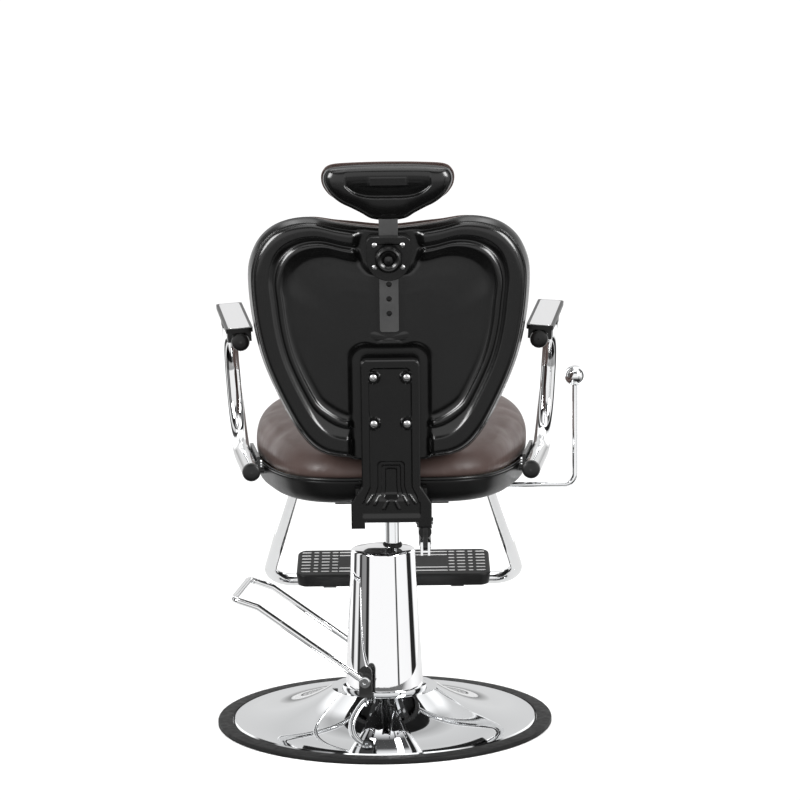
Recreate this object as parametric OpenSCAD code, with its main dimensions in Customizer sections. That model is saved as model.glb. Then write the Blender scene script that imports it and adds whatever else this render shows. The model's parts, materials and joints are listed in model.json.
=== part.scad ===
// Hydraulic barber chair: a pump on a round floor base lifts a swivelling seat with arms, a footrest,
// a reclining back and a height-adjustable headrest.
// Frame: origin on the floor under the centre of the base, +Y towards the front of the chair, +Z up.

/* [Base] */
// Outside diameter of the rubber floor ring
base_d = 630; // [560:5:700]
// Height of the rubber floor ring
ring_h = 10; // [9:0.5:14]
// Width of the rubber floor ring seen from above
ring_w = 29; // [24:1:36]
// Height of the flat crown that carries the pump
crown_z = 66; // [56:1:80]
// Diameter of the flat crown
crown_d = 200; // [196:2:220]
// Thickness of the pressed steel disc
disc_t = 3; // [2:0.5:4]
// Thread size of the four bolts that hold the pump
pump_bolt_d = 10; // [8:1:12]

/* [Pump] */
// Outside diameter of the pump cover at its foot
cover_foot_d = 146; // [144:1:150]
// Outside diameter of the pump cover at its shoulder
cover_top_d = 121; // [118:1:130]
// Height of the shoulder of the pump cover above the floor
cover_top_z = 324; // [310:2:340]
// Sheet thickness of the pump cover
cover_t = 1.5; // [1:0.25:2.5]
// Diameter of the piston rod
rod_d = 28; // [26:1:32]
// Distance of the piston rod from the centre of the base
rod_offset = 18; // [14:1:20]
// Stroke of the hydraulic lift
lift_stroke = 150; // [100:10:160]
// Diameter of the swivel journal at the top of the piston rod
journal_d = 22; // [18:1:24]
// Radial running clearance of shafts in their bores
fit_gap = 0.06; // [0.02:0.01:0.1]

/* [Pedal] */
// Turn of the pedal about the pump, in degrees
pedal_yaw = 6; // [0:1:10]
// Distance of the pedal pivot from the centre of the base
pivot_back = 26; // [24:1:28]
// Height of the pedal pivot above the crown
pivot_up = 29; // [27:1:34]
// Diameter of the pedal shaft
pedal_shaft_d = 14; // [12:1:16]
// Diameter of the pedal rod
pedal_rod_d = 12.5; // [10:0.5:14]
// Distance between the two rods of the pedal, centre to centre
pedal_span = 185; // [183:1:200]
// Reach of the pedal from its pivot to its end bar
pedal_reach = 244; // [220:2:260]
// Rise of the inclined part of the pedal, in degrees
pedal_rise = 35; // [30:1:38]
// Diameter of the pump plunger
plunger_d = 12; // [10:1:14]

/* [Seat] */
// Width of the seat
seat_w = 508; // [490:2:540]
// Depth of the seat from front to back
seat_d = 500; // [480:2:540]
// Height of the underside of the seat tray above the floor, with the lift down
tray_z = 455; // [450:1:470]
// Height of the seat tray
tray_h = 43; // [36:1:50]
// Thickness of the moulded seat tray
tray_t = 3; // [2:0.5:4]
// Thickness of the seat cushion at its crown
seat_pad_h = 86; // [70:2:96]
// Thickness of the plywood boards
board_t = 15; // [12:1:18]
// Size of the square frame tube under the seat, across
rail_w = 30; // [25:1:36]
// Size of the square frame tube under the seat, in height
rail_h = 25; // [22:1:30]
// Distance of each frame rail from the middle of the chair
rail_x = 90; // [84:1:96]
// Thickness of the steel plates of the seat frame
plate_t = 6; // [5:1:8]

/* [Arms] */
// Outside diameter of the arm tube
arm_d = 32; // [28:1:34]
// Wall of the arm tube
arm_wall = 2; // [1.5:0.5:3]
// Distance of the lower rear end of the arm tube inward from the widest part of the seat
arm_step = 4; // [0:0.5:8]
// Height of the lower arm tube above the floor
arm_z = 512; // [500:1:520]
// Height between the two rear ends of one arm tube
arm_rise = 235; // [220:1:250]
// Length of the lower straight of the arm tube
arm_run = 210; // [200:5:220]
// Bend radius of the arm tube
arm_bend = 108; // [80:2:110]
// Outward splay of the arms towards the front, in degrees
arm_splay = 7.3; // [6:0.1:9]
// Outward lean of the arms, in degrees
arm_lean = 3.65; // [2:0.05:5]
// Forward rise of the armrest, in degrees
armrest_tilt = 4; // [2:0.5:5]
// Length of the armrest
armrest_l = 280; // [250:5:290]
// Width of the armrest
armrest_w = 48; // [44:1:54]
// Thickness of the armrest
armrest_t = 8; // [7:0.5:12]

/* [Footrest] */
// Outside diameter of the footrest tube
foot_tube_d = 25; // [22:1:28]
// Forward distance of the footrest cross tube from the chair axis
foot_y = 404; // [390:2:420]
// Height of the footrest cross tube above the floor
foot_z = 189; // [180:1:220]
// Half width of the footrest frame at its lower corners
foot_half_w = 258; // [250:1:266]
// Width of the footrest pad
foot_pad_w = 392; // [370:2:410]
// Depth of the footrest pad
foot_pad_l = 132; // [120:2:140]
// Thickness of the footrest pad
foot_pad_h = 26; // [22:1:30]
// Tilt of the footrest pad, in degrees
foot_tilt = 12; // [8:1:16]

/* [Back] */
// Lean of the back, in degrees
back_tilt = 9; // [6:0.5:12]
// Distance of the recline pivot behind the chair axis
hinge_y = 252; // [250:1:256]
// Height of the recline pivot above the floor
hinge_z = 440; // [438:1:444]
// Full width of the back cushion
back_w = 490; // [460:2:510]
// Thickness of the back cushion
back_pad_t = 72; // [60:2:84]
// Width of the upright cover
upright_w = 103; // [96:1:110]
// Width of the upright cover across its lower ears
ear_w = 142; // [140:1:146]
// Diameter of the recline pivot pins
hinge_pin_d = 12; // [10:1:13]
// Distance from the recline pivot to the gas spring pin
crank_r = 60; // [58:0.5:62]
// Angle of the crank behind the vertical at rest, in degrees
crank_lag = 25; // [23:0.5:27]

/* [Recline] */
// Outside diameter of the gas spring
gas_d = 22; // [20:1:24]
// Diameter of the gas spring rod
gas_rod_d = 8; // [6:1:10]
// Distance of the gas spring anchor pin behind the chair axis
anchor_y = 30; // [26:1:34]
// Diameter of the two gas spring pins
gas_pin_d = 10; // [8:1:10]
// Diameter of the recline lever rod
lever_d = 10; // [9:1:12]
// Distance of the upright part of the lever outward from the widest part of the seat
lever_out = 89; // [82:1:98]
// Height of the lever shaft below the seat tray
lever_drop = 8; // [8:1:12]
// Height of the lever ball above the lever shaft
lever_rise = 205; // [190:1:225]
// Diameter of the lever ball
ball_d = 38; // [34:1:40]

/* [Headrest] */
// Width of the headrest
head_w = 226; // [200:2:250]
// Width of the headrest bar
bar_w = 33; // [28:1:36]
// Thickness of the headrest bar
bar_t = 6; // [5:0.5:7]
// Pitch of the holes in the headrest bar
hole_pitch = 26; // [22:1:30]
// Diameter of the holes in the headrest bar
hole_d = 10; // [8:1:12]
// Width of the headrest clamp
clamp_w = 75; // [70:1:80]
// Diameter of the index knob
knob_d = 46; // [40:1:50]

/* [Hidden] */
$fn = 64;
air = 0.3;       // clearance between bodies that face each other
seat_gap = 0.1;  // clearance between pieces of one body
eps = 0.01;

black = [0.13, 0.13, 0.14];
leather = [0.32, 0.27, 0.25];
chrome = [0.86, 0.87, 0.89];
steel = [0.60, 0.61, 0.63];
zinc = [0.75, 0.75, 0.72];
plywood = [0.76, 0.62, 0.42];

// ---------- curves and lofted bodies ----------

// Catmull-Rom curve through a closed list of points, with steps points for each span
function spline(p, steps) = [
    for (i = [0 : len(p) - 1], k = [0 : steps - 1])
        let (
            n = len(p),
            t = k / steps,
            a = p[(i + n - 1) % n],
            b = p[i],
            c = p[(i + 1) % n],
            d = p[(i + 2) % n]
        )
        0.5 * (2 * b + (c - a) * t + (2 * a - 5 * b + 4 * c - d) * t * t + (3 * b - a - 3 * c + d) * t * t * t)
];

// A closed outline from its right half: the first and last points lie on the middle line
function both_sides(half) = concat(
    half,
    [for (i = [len(half) - 2 : -1 : 1]) [-half[i][0], half[i][1]]]
);

// An outline drawn in towards its centre by about d on every side
function drawn_in(outline, centre, half_size, d) = [
    for (p = outline) [
        centre[0] + (p[0] - centre[0]) * (1 - d / half_size[0]),
        centre[1] + (p[1] - centre[1]) * (1 - d / half_size[1])
    ]
];

// Closed body through a list of rings with the same number of points, capped flat at both ends
module loft(rings) {
    n = len(rings[0]);
    m = len(rings);
    points = [for (ring = rings, p = ring) p];
    sides = [
        for (j = [0 : m - 2], i = [0 : n - 1])
            let (k = (i + 1) % n, a = j * n + i, b = j * n + k, c = a + n, d = b + n)
            each [[a, b, d], [a, d, c]]
    ];
    ends = [[for (i = [n - 1 : -1 : 0]) i], [for (i = [0 : n - 1]) (m - 1) * n + i]];
    polyhedron(points, concat(sides, ends), convexity = 6);
}

// Round bar or tube from a to b
module tube_run(a, b, d, bore) {
    v = b - a;
    turn = atan2(v[1], v[0]);
    tip = acos(v[2] / norm(v));
    translate(a) rotate([0, tip, turn]) difference() {
        cylinder(d = d, h = norm(v));
        if (bore > 0) translate([0, 0, -1]) cylinder(d = bore, h = norm(v) + 2);
    }
}

// Distance from a corner of a path to the start of its bend
function bend_start(a, p, b, r) =
    let (u = (a - p) / norm(a - p), v = (b - p) / norm(b - p))
    r / tan(acos(u * v) / 2);

// Bend of a bar or tube at corner p, on the way from a to b; it is 0.05 mm thicker than the straights,
// which end inside it
module tube_bend(a, p, b, r, d, bore) {
    u = (a - p) / norm(a - p);
    v = (b - p) / norm(b - p);
    half = acos(u * v) / 2;
    centre = p + (u + v) / norm(u + v) * r / sin(half);
    x = (p + u * r / tan(half) - centre) / r;
    z = cross(x, -u);
    multmatrix([
        [x[0], -u[0], z[0], centre[0]],
        [x[1], -u[1], z[1], centre[1]],
        [x[2], -u[2], z[2], centre[2]]
    ]) rotate_extrude(angle = 180 - 2 * half) translate([r, 0]) difference() {
        circle(d = d + 0.1);
        if (bore > 0) circle(d = bore - 0.1);
    }
}

// Round bar or tube through the points p, with bend radius r at every corner
module bent_tube(p, r, d, bore = 0) {
    last = len(p) - 1;
    lap = 0.2;
    for (i = [1 : last - 1]) tube_bend(p[i - 1], p[i], p[i + 1], r, d, bore);
    for (i = [0 : last - 1]) {
        way = (p[i + 1] - p[i]) / norm(p[i + 1] - p[i]);
        from = i == 0 ? 0 : bend_start(p[i - 1], p[i], p[i + 1], r);
        to = i == last - 1 ? 0 : bend_start(p[i], p[i + 1], p[i + 2], r);
        tube_run(p[i] + way * max(from - lap, 0), p[i + 1] - way * max(to - lap, 0), d, bore);
    }
}

// Round bar of radius r along a path; up is a direction that the path never takes
module bar_along(path, r, up, sides) {
    last = len(path) - 1;
    rings = [
        for (i = [0 : last])
            let (
                ahead = path[min(i + 1, last)] - path[i],
                behind = path[i] - path[max(i - 1, 0)],
                t0 = (i == last ? behind / norm(behind) : ahead / norm(ahead)),
                t1 = (i == 0 ? t0 : behind / norm(behind)),
                t = (t0 + t1) / norm(t0 + t1),
                x = cross(up, t) / norm(cross(up, t)),
                y = cross(t, x)
            )
            [for (k = [0 : sides - 1]) path[i] + r * (x * cos(360 * k / sides) + y * sin(360 * k / sides))]
    ];
    loft(rings);
}

// Coil spring standing on z = 0
module coil(radius, wire, turns, height) {
    rings_per_turn = 10;
    last = turns * rings_per_turn;
    path = [
        for (i = [0 : last])
            [
                radius * cos(360 * i / rings_per_turn),
                radius * sin(360 * i / rings_per_turn),
                wire / 2 + (height - wire) * i / last
            ]
    ];
    bar_along(path, wire / 2, [0, 0, 1], 6);
}

module x_cylinder(d, length) {
    rotate([0, 90, 0]) cylinder(d = d, h = length, center = true);
}

module y_cylinder(d, length) {
    rotate([90, 0, 0]) cylinder(d = d, h = length, center = true);
}

module both_chair_sides() {
    children();
    translate([chair_x, 0, 0]) mirror([1, 0, 0]) translate([-chair_x, 0, 0]) children();
}

// ---------- base and pump ----------

base_r = base_d / 2;
chair_x = rod_offset;
lip_r = base_r - 11;          // edge of the steel disc inside the rubber ring
lip_z = 4;
ring_in = base_r - ring_w;
step_r = ring_in - 3;
step_z = ring_h + 1;
crown_r = crown_d / 2;
dome_steps = 14;
function dome_z(r) = step_z + (crown_z - step_z) * pow((step_r - r) / (step_r - crown_r), 2.2);

flange_r = cover_foot_d / 2 - cover_t - 6;
flange_h = 10;
flange_z = crown_z + flange_h;
bolt_place = 35;
bolt_hole_d = pump_bolt_d + 0.5;
hex_across = pump_bolt_d * 1.85;
hex_h = pump_bolt_d * 0.64;
collar_h = 6;
cover_foot_z = crown_z + collar_h;
cover_foot_r = cover_foot_d / 2;
cover_top_r = cover_top_d / 2;
cover_cap_h = 14;
housing_top_z = cover_top_z + 6;
cylinder_r = rod_d / 2 + 13;
rod_bore_d = rod_d + 2 * fit_gap;
rod_bottom_z = 96;
tank_r = cover_top_r - cover_t - 5;
tank_wall = 2.5;
tank_z = 120;
seal_d = rod_d + 8;
pivot_z = crown_z + pivot_up;
lug_y = 54;
lug_t = 8;
lug_d = 26;
plunger_x = pivot_back + 21;
plunger_top_z = pivot_z - 4.3;
plunger_bottom_z = crown_z - 16;
plunger_well_d = 28;
plunger_well_z = crown_z - 32;

module pump_turned() {
    rotate([0, 0, -pedal_yaw]) children();
}

module at_pump_bolts() {
    for (x = [-bolt_place, bolt_place], y = [-bolt_place, bolt_place]) translate([x, y, 0]) children();
}

module base_ring() {
    color(black) rotate_extrude($fn = 160) polygon([
        [ring_in, 0], [base_r - 2, 0], [base_r, 2], [base_r, ring_h - 3], [base_r - 1, ring_h - 1],
        [base_r - 3, ring_h], [ring_in + 2, ring_h], [ring_in + 1, lip_z + disc_t + seat_gap],
        [lip_r + seat_gap, lip_z + disc_t + seat_gap], [lip_r + seat_gap, lip_z - seat_gap],
        [ring_in, lip_z - seat_gap]
    ]);
}

module base_disc() {
    dome = [
        for (i = [0 : dome_steps])
            let (r = step_r + (crown_r - step_r) * i / dome_steps)
            [r, dome_z(r)]
    ];
    under = [for (i = [dome_steps : -1 : 0]) [dome[i][0] - 1, dome[i][1] - disc_t]];
    color(chrome) difference() {
        rotate_extrude($fn = 160) polygon(concat(
            [[lip_r, lip_z], [lip_r, lip_z + disc_t], [ring_in + 0.5, lip_z + disc_t]],
            dome,
            [[0, crown_z], [0, crown_z - disc_t]],
            under,
            [[ring_in - 0.5, lip_z]]
        ));
        pump_turned() {
            at_pump_bolts() translate([0, 0, crown_z - disc_t - 1]) cylinder(d = bolt_hole_d, h = disc_t + 2);
            translate([-plunger_x, 0, crown_z - disc_t - 1])
                cylinder(d = plunger_well_d + 1, h = disc_t + 2);
        }
    }
}

module foot_collar() {
    inner = flange_r + 2;
    outer = cover_foot_r + 7;
    color(chrome) translate([0, 0, crown_z]) rotate_extrude($fn = 96) polygon([
        [inner, 0], [outer, 0], [outer, collar_h - 2.5], [outer - 0.8, collar_h - 0.8],
        [outer - 2.5, collar_h], [inner, collar_h]
    ]);
}

module pump_bolts() {
    color(zinc) pump_turned() at_pump_bolts() {
        translate([0, 0, flange_z]) cylinder(d = hex_across, h = hex_h, $fn = 6);
        translate([0, 0, crown_z - disc_t - hex_h - 4]) cylinder(d = pump_bolt_d, h = flange_h + disc_t + hex_h + 4);
        translate([0, 0, crown_z - disc_t - hex_h]) cylinder(d = hex_across, h = hex_h, $fn = 6);
    }
}

module pump_housing() {
    color(steel) difference() {
        union() {
            translate([0, 0, crown_z]) cylinder(r = flange_r, h = flange_h);
            translate([chair_x, 0, flange_z - 1]) cylinder(r = cylinder_r, h = housing_top_z - flange_z + 1);
            pump_turned() {
                translate([-plunger_x, 0, plunger_well_z]) cylinder(d = plunger_well_d, h = crown_z - plunger_well_z + 1);
                for (y = [-lug_y, lug_y]) {
                    translate([-pivot_back, y, pivot_z]) y_cylinder(lug_d, lug_t);
                    translate([-pivot_back - lug_d / 2, y - lug_t / 2, flange_z - 1])
                        cube([lug_d, lug_t, pivot_z - flange_z + 1]);
                }
            }
        }
        translate([chair_x, 0, rod_bottom_z - 6]) cylinder(d = rod_bore_d, h = housing_top_z);
        pump_turned() {
            at_pump_bolts() translate([0, 0, crown_z - 1]) cylinder(d = bolt_hole_d, h = flange_h + 2);
            translate([-pivot_back, 0, pivot_z]) y_cylinder(pedal_shaft_d + 2 * fit_gap, 3 * lug_y);
            translate([-plunger_x, 0, plunger_well_z + 3]) cylinder(d = plunger_d + 2 * fit_gap, h = 60);
        }
    }
}

module oil_tank() {
    height = housing_top_z - 8 - tank_z;
    color(steel) translate([0, 0, tank_z]) difference() {
        cylinder(r = tank_r, h = height);
        translate([0, 0, 4]) difference() {
            cylinder(r = tank_r - tank_wall, h = height - 8);
            translate([chair_x, 0, -1]) cylinder(r = cylinder_r + seat_gap + 0.05, h = height);
        }
        translate([chair_x, 0, -1]) cylinder(r = cylinder_r + seat_gap, h = height + 2);
    }
}

// Outer half profile of the pump cover, from its foot to the middle of its cap
function cover_profile(inset) = [
    [cover_foot_r - inset, cover_foot_z],
    [cover_top_r - inset, cover_top_z],
    for (a = [15 : 15 : 75])
        [cover_top_r - 7 * (1 - cos(a)) - inset * cos(a), cover_top_z + 7 * sin(a) - inset * sin(a)],
    [cover_top_r - 12, cover_top_z + 8 - inset],
    [cover_top_r / 2, cover_top_z + cover_cap_h * 0.85 - inset],
    [0, cover_top_z + cover_cap_h - inset]
];

module pump_cover() {
    inner = cover_profile(cover_t);
    color(chrome) difference() {
        rotate_extrude($fn = 96) polygon(concat(
            cover_profile(0),
            [for (i = [len(inner) - 1 : -1 : 0]) inner[i]]
        ));
        translate([chair_x, 0, cover_top_z]) cylinder(d = seal_d + 2 * seat_gap, h = 30);
        pump_turned() translate([-pivot_back, 0, pivot_z]) y_cylinder(pedal_shaft_d + 4, 3 * cover_foot_r);
    }
}

module rod_seal() {
    top = cover_top_z + cover_cap_h + 3;
    color(black) translate([chair_x, 0, 0]) rotate_extrude() polygon([
        [rod_bore_d / 2, housing_top_z], [seal_d / 2, housing_top_z], [seal_d / 2, top - 2],
        [seal_d / 2 - 1.5, top], [rod_bore_d / 2, top]
    ]);
}

pedal_eye_t = 10;
pedal_eye_d = 21;
bracket_in = cover_foot_r + 7.5;
bracket_t = (pedal_span - max(pedal_eye_t, pedal_rod_d)) / 2 - bracket_in - 0.5;
bracket_w = 24;
module pedal_brackets() {
    color(black) pump_turned() for (side = [-1, 1])
        translate([-pivot_back, side * (bracket_in + bracket_t / 2), 0]) difference() {
            union() {
                translate([0, 0, pivot_z + 16]) y_cylinder(bracket_w, bracket_t);
                translate([-bracket_w / 2, -bracket_t / 2, crown_z]) cube([bracket_w, bracket_t, pivot_up + 16]);
            }
            translate([0, 0, pivot_z]) y_cylinder(pedal_shaft_d + 2 * fit_gap, 3 * bracket_t);
        }
}

pedal_end = (pedal_span + pedal_eye_t) / 2;
screw_hole_d = 8;
module at_pedal_pivot() {
    pump_turned() translate([-pivot_back, 0, pivot_z]) children();
}

module pedal_shaft() {
    nose = 24;
    color(steel) at_pedal_pivot() difference() {
        union() {
            y_cylinder(pedal_shaft_d, 2 * pedal_end);
            y_cylinder(22, 14);
            translate([-nose, -7, -4]) cube([nose, 14, 8]);
        }
        for (side = [-1, 1]) translate([0, side * pedal_end, 0]) y_cylinder(screw_hole_d, 36);
    }
}

module pedal_loop() {
    y = pedal_span / 2;
    flat_l = 48;
    flat_rise = 18;
    knee_x = pedal_reach - flat_l * cos(flat_rise);
    knee_z = knee_x * tan(pedal_rise);
    tip_z = knee_z + flat_l * sin(flat_rise);
    root = pedal_eye_d / 2 - 2;
    bend = 13;
    near = [
        [-root * cos(pedal_rise), -y, root * sin(pedal_rise)],
        [-knee_x, -y, knee_z],
        [-pedal_reach, -y, tip_z]
    ];
    color(chrome) at_pedal_pivot() difference() {
        union() {
            for (side = [-1, 1]) translate([0, side * y, 0]) y_cylinder(pedal_eye_d, pedal_eye_t);
            bent_tube(concat(near, [for (i = [2 : -1 : 0]) [near[i][0], y, near[i][2]]]), bend, pedal_rod_d);
        }
        y_cylinder(pedal_shaft_d + 0.04, 3 * pedal_span);
    }
}

module pedal_screws() {
    head = 5;
    color(chrome) at_pedal_pivot() for (side = [-1, 1]) {
        translate([0, side * (pedal_end + head / 2 + eps), 0]) difference() {
            y_cylinder(17, head);
            translate([0, side * 1.5, 0]) rotate([90, 0, 0]) cylinder(d = 7, h = head, center = true, $fn = 6);
        }
        translate([0, side * (pedal_end - 7), 0]) y_cylinder(screw_hole_d - seat_gap, 14);
    }
}

module pump_plunger() {
    color(steel) pump_turned() translate([-plunger_x, 0, 0]) {
        translate([0, 0, plunger_bottom_z]) cylinder(d = plunger_d, h = plunger_top_z - plunger_bottom_z);
        translate([0, 0, plunger_top_z - 4]) cylinder(d = plunger_d + 2, h = 4);
    }
}

module plunger_spring() {
    floor_z = plunger_well_z + 3;
    color(zinc) pump_turned() translate([-plunger_x, 0, floor_z + seat_gap])
        coil(plunger_d / 2 - 1.1, 1.6, 4, plunger_bottom_z - floor_z - 2 * seat_gap);
}

mount_z = tray_z - rail_h - plate_t;   // underside of the mount plate
shoulder_z = mount_z - 30;             // shoulder of the piston rod
bearing_h = 4;
module piston_rod() {
    color(chrome) translate([chair_x, 0, 0]) {
        translate([0, 0, rod_bottom_z]) cylinder(d = rod_d, h = shoulder_z - rod_bottom_z);
        translate([0, 0, shoulder_z]) cylinder(d = journal_d, h = mount_z + plate_t - 2 - shoulder_z);
    }
}

// ---------- seat ----------

module swivel_bearing() {
    color(steel) translate([chair_x, 0, shoulder_z + air]) difference() {
        cylinder(d = journal_d + 18, h = bearing_h);
        translate([0, 0, -1]) cylinder(d = journal_d + 2 * fit_gap, h = bearing_h + 2);
    }
}

mount_bolt_y = 28;
mount_bolt_d = 10;
mount_bolt_in = 15;    // how far the mount bolts enter the battens
mount_w = 2 * rail_x + rail_w;
mount_l = 110;
anchor_half = 9;       // half distance between the ears that hold the gas spring
anchor_ear_t = 4;
anchor_ear_d = 22;
finger_w = 12;         // width of the finger that presses the gas spring's valve
module at_mount_bolts() {
    for (x = [-rail_x, rail_x], y = [-mount_bolt_y, mount_bolt_y]) translate([chair_x + x, y, mount_z]) children();
}

module seat_mount() {
    tube_z = shoulder_z + air + bearing_h;
    anchor_x = chair_x + gas_x;
    ear_x = anchor_half + anchor_ear_t / 2;
    slot_l = 24;
    color(black) difference() {
        union() {
            translate([chair_x, 0, tube_z]) cylinder(d = journal_d + 26, h = mount_z - tube_z + 1);
            translate([chair_x - mount_w / 2, -mount_l / 2, mount_z]) cube([mount_w, mount_l, plate_t]);
            for (side = [-1, 1]) {
                translate([anchor_x + side * ear_x, -anchor_y, gas_z]) x_cylinder(anchor_ear_d, anchor_ear_t);
                translate([anchor_x + side * ear_x - anchor_ear_t / 2, -anchor_y - anchor_ear_d / 2, gas_z])
                    cube([anchor_ear_t, anchor_ear_d, mount_z - gas_z + 1]);
            }
        }
        translate([chair_x, 0, tube_z - 1]) cylinder(d = journal_d + 2 * fit_gap, h = mount_z + 2 * plate_t - tube_z);
        mount_bolt_bores();
        translate([anchor_x - finger_w / 2 - 3, lever_y - slot_l / 2, mount_z - 1])
            cube([finger_w + 6, slot_l, plate_t + 2]);
        translate([anchor_x, -anchor_y, gas_z]) x_cylinder(gas_pin_d + 2 * fit_gap, 60);
    }
}

mount_bolt_l = plate_t + rail_h + tray_t + mount_bolt_in;
module mount_bolt_bores() {
    at_mount_bolts() translate([0, 0, -1]) cylinder(d = mount_bolt_d + 0.4, h = mount_bolt_l + 2);
}

module mount_bolts() {
    head_h = 3.5;
    color(zinc) at_mount_bolts() {
        translate([0, 0, -head_h]) cylinder(d = 18, h = head_h, $fn = 6);
        cylinder(d = mount_bolt_d, h = mount_bolt_l);
    }
}

rail_front = 75;
rail_back = 70;
cross_half = 207;
cross_w = 25;
hinge_lug_x = 50.5;    // middle of each hinge lug, from the middle of the chair
hinge_lug_t = 8;
hinge_lug_d = 26;
hinge_arm_w = 22;
hinge_arm_back = 205;
tongue_t = 8;          // thickness of the upright's hinge plates and of its crank
arm_plate_x = hinge_lug_x + hinge_lug_t / 2 + air + 0.2 + tongue_t / 2;
valve_tip_y = 0;
lever_y = valve_tip_y + 2 * air + 4;
lever_z = tray_z - lever_drop;
module seat_frame() {
    rail_z = tray_z - rail_h;
    wall = 2.5;
    color(black) difference() {
        union() {
            for (x = [-rail_x, rail_x]) translate([chair_x + x - rail_w / 2, -rail_back, rail_z]) difference() {
                cube([rail_w, rail_back + rail_front, rail_h]);
                translate([wall, wall, wall])
                    cube([rail_w - 2 * wall, rail_back + rail_front - 2 * wall, rail_h - 2 * wall]);
            }
            translate([chair_x - rail_x + rail_w / 2, -rail_back, rail_z])
                cube([2 * rail_x - rail_w, cross_w, rail_h]);
            translate([chair_x - cross_half, rail_front, rail_z]) cube([2 * cross_half, cross_w, rail_h]);
            for (side = [-1, 1]) translate([chair_x + side * hinge_lug_x, 0, 0]) {
                translate([-hinge_arm_w / 2, -hinge_arm_back, rail_z])
                    cube([hinge_arm_w, hinge_arm_back - rail_back + 1, rail_h]);
                translate([0, -hinge_y, hinge_z]) x_cylinder(hinge_lug_d, hinge_lug_t);
                translate([-hinge_lug_t / 2, -hinge_y, hinge_z - hinge_lug_d / 2])
                    cube([hinge_lug_t, hinge_y - hinge_arm_back + 2, hinge_lug_d]);
            }
        }
        for (side = [-1, 1]) translate([chair_x + side * hinge_lug_x, -hinge_y, hinge_z])
            x_cylinder(hinge_pin_d + 2 * fit_gap, 3 * hinge_lug_t);
        mount_bolt_bores();
        translate([chair_x + rail_x, lever_y, lever_z]) x_cylinder(lever_d + 2 * fit_gap, 3 * rail_w);
        for (side = [-1, 1], x = [-foot_bolt_x, foot_bolt_x])
            translate([chair_x + side * foot_root_x + x, rail_front + cross_w, foot_root_z])
                y_cylinder(foot_bolt_d + 0.4, 30);
    }
}

// Right half of the seat outline, seen from above, from the middle of the rear edge to the front
seat_half = [
    [0, -0.492], [0.22, -0.488], [0.335, -0.424], [0.408, -0.300], [0.452, -0.160], [0.490, 0],
    [0.5, 0.12], [0.488, 0.26], [0.445, 0.38], [0.355, 0.464], [0.20, 0.498], [0, 0.5]
];
seat_outline = spline(both_sides([for (p = seat_half) [p[0] * seat_w, p[1] * seat_d]]), 2);

// The seat outline drawn in by d
function seat_shape(d) = drawn_in(seat_outline, [0, 0], [seat_w / 2, seat_d / 2], d);

// One ring of a seat piece: drawn in by d, at height z, rising by slope towards the front
function seat_ring(d, z, slope = 0) = [
    for (p = seat_shape(d)) [chair_x + p[0], p[1], z + slope * p[1] / seat_d]
];

tray_top_z = tray_z + tray_h;
module seat_tray() {
    color(black) difference() {
        loft([
            seat_ring(34, tray_z),
            seat_ring(22, tray_z + 4),
            seat_ring(9, tray_z + 14),
            seat_ring(3, tray_z + 26),
            seat_ring(0, tray_top_z),
            seat_ring(tray_t, tray_top_z),
            seat_ring(tray_t + 3, tray_z + 26),
            seat_ring(tray_t + 9, tray_z + 14),
            seat_ring(tray_t + 24, tray_z + tray_t + 2),
            seat_ring(tray_t + 36, tray_z + tray_t)
        ]);
        mount_bolt_bores();
        board_bolt_bores();
    }
}

module seat_board() {
    batten = [44, 130];
    batten_z = tray_z + tray_t;
    color(plywood) difference() {
        union() {
            translate([chair_x, 0, tray_top_z - board_t]) linear_extrude(board_t) polygon(seat_shape(tray_t + 6));
            for (x = [-rail_x, rail_x]) translate([chair_x + x - batten[0] / 2, -batten[1] / 2, batten_z])
                cube([batten[0], batten[1], tray_top_z - board_t + 1 - batten_z]);
        }
        mount_bolt_bores();
        board_bolt_bores();
    }
}

module seat_cushion() {
    z = tray_top_z + air;
    h = seat_pad_h;
    slope = 65;
    color(leather) loft([
        seat_ring(8, z),
        seat_ring(2, z + 3),
        seat_ring(1, z + 0.14 * h, 0.2 * slope),
        seat_ring(5, z + 0.30 * h, 0.5 * slope),
        seat_ring(3, z + 0.52 * h, 0.8 * slope),
        seat_ring(8, z + 0.70 * h, slope),
        seat_ring(22, z + 0.84 * h, slope),
        seat_ring(50, z + 0.93 * h, slope),
        seat_ring(95, z + 0.98 * h, slope),
        seat_ring(160, z + h, slope)
    ]);
}

// ---------- arms ----------

arm_r = arm_d / 2;
arm_x = seat_w / 2 - arm_step;

// Frame of the right arm: origin at the lower rear end of the tube, +Y along its lower straight
module at_arm() {
    translate([chair_x + arm_x, -arm_back, arm_z]) rotate([0, 0, -arm_splay]) rotate([0, arm_lean, 0]) children();
}

arm_back = 215;
module at_armrest() {
    at_arm() translate([0, 0, arm_rise]) rotate([armrest_tilt, 0, 0]) children();
}

// Frame of the lower straight of the right arm, upright
module at_arm_foot() {
    translate([chair_x + arm_x, -arm_back, arm_z]) rotate([0, 0, -arm_splay]) children();
}

strip_t = 6;
strip_x = -arm_r - seat_gap - strip_t;    // inner face of the arm bracket
strip_y = [75, 250];
strip_half_h = 15;
tube_bolt_y = [95, 190];
board_bolt_y = [154, 229];
board_bolt_z = tray_top_z - board_t / 2 - arm_z;
arm_bolt_d = 8;
board_bolt_l = 60;

module tube_bolt_bores() {
    at_arm_foot() for (y = tube_bolt_y) translate([strip_x + 8, y, 0]) x_cylinder(arm_bolt_d + 0.4, 20);
}

module board_bolt_bores() {
    both_chair_sides() at_arm_foot() for (y = board_bolt_y)
        translate([strip_x + strip_t - board_bolt_l / 2 - 2, y, board_bolt_z]) x_cylinder(arm_bolt_d + 0.3, board_bolt_l + 6);
}

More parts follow.
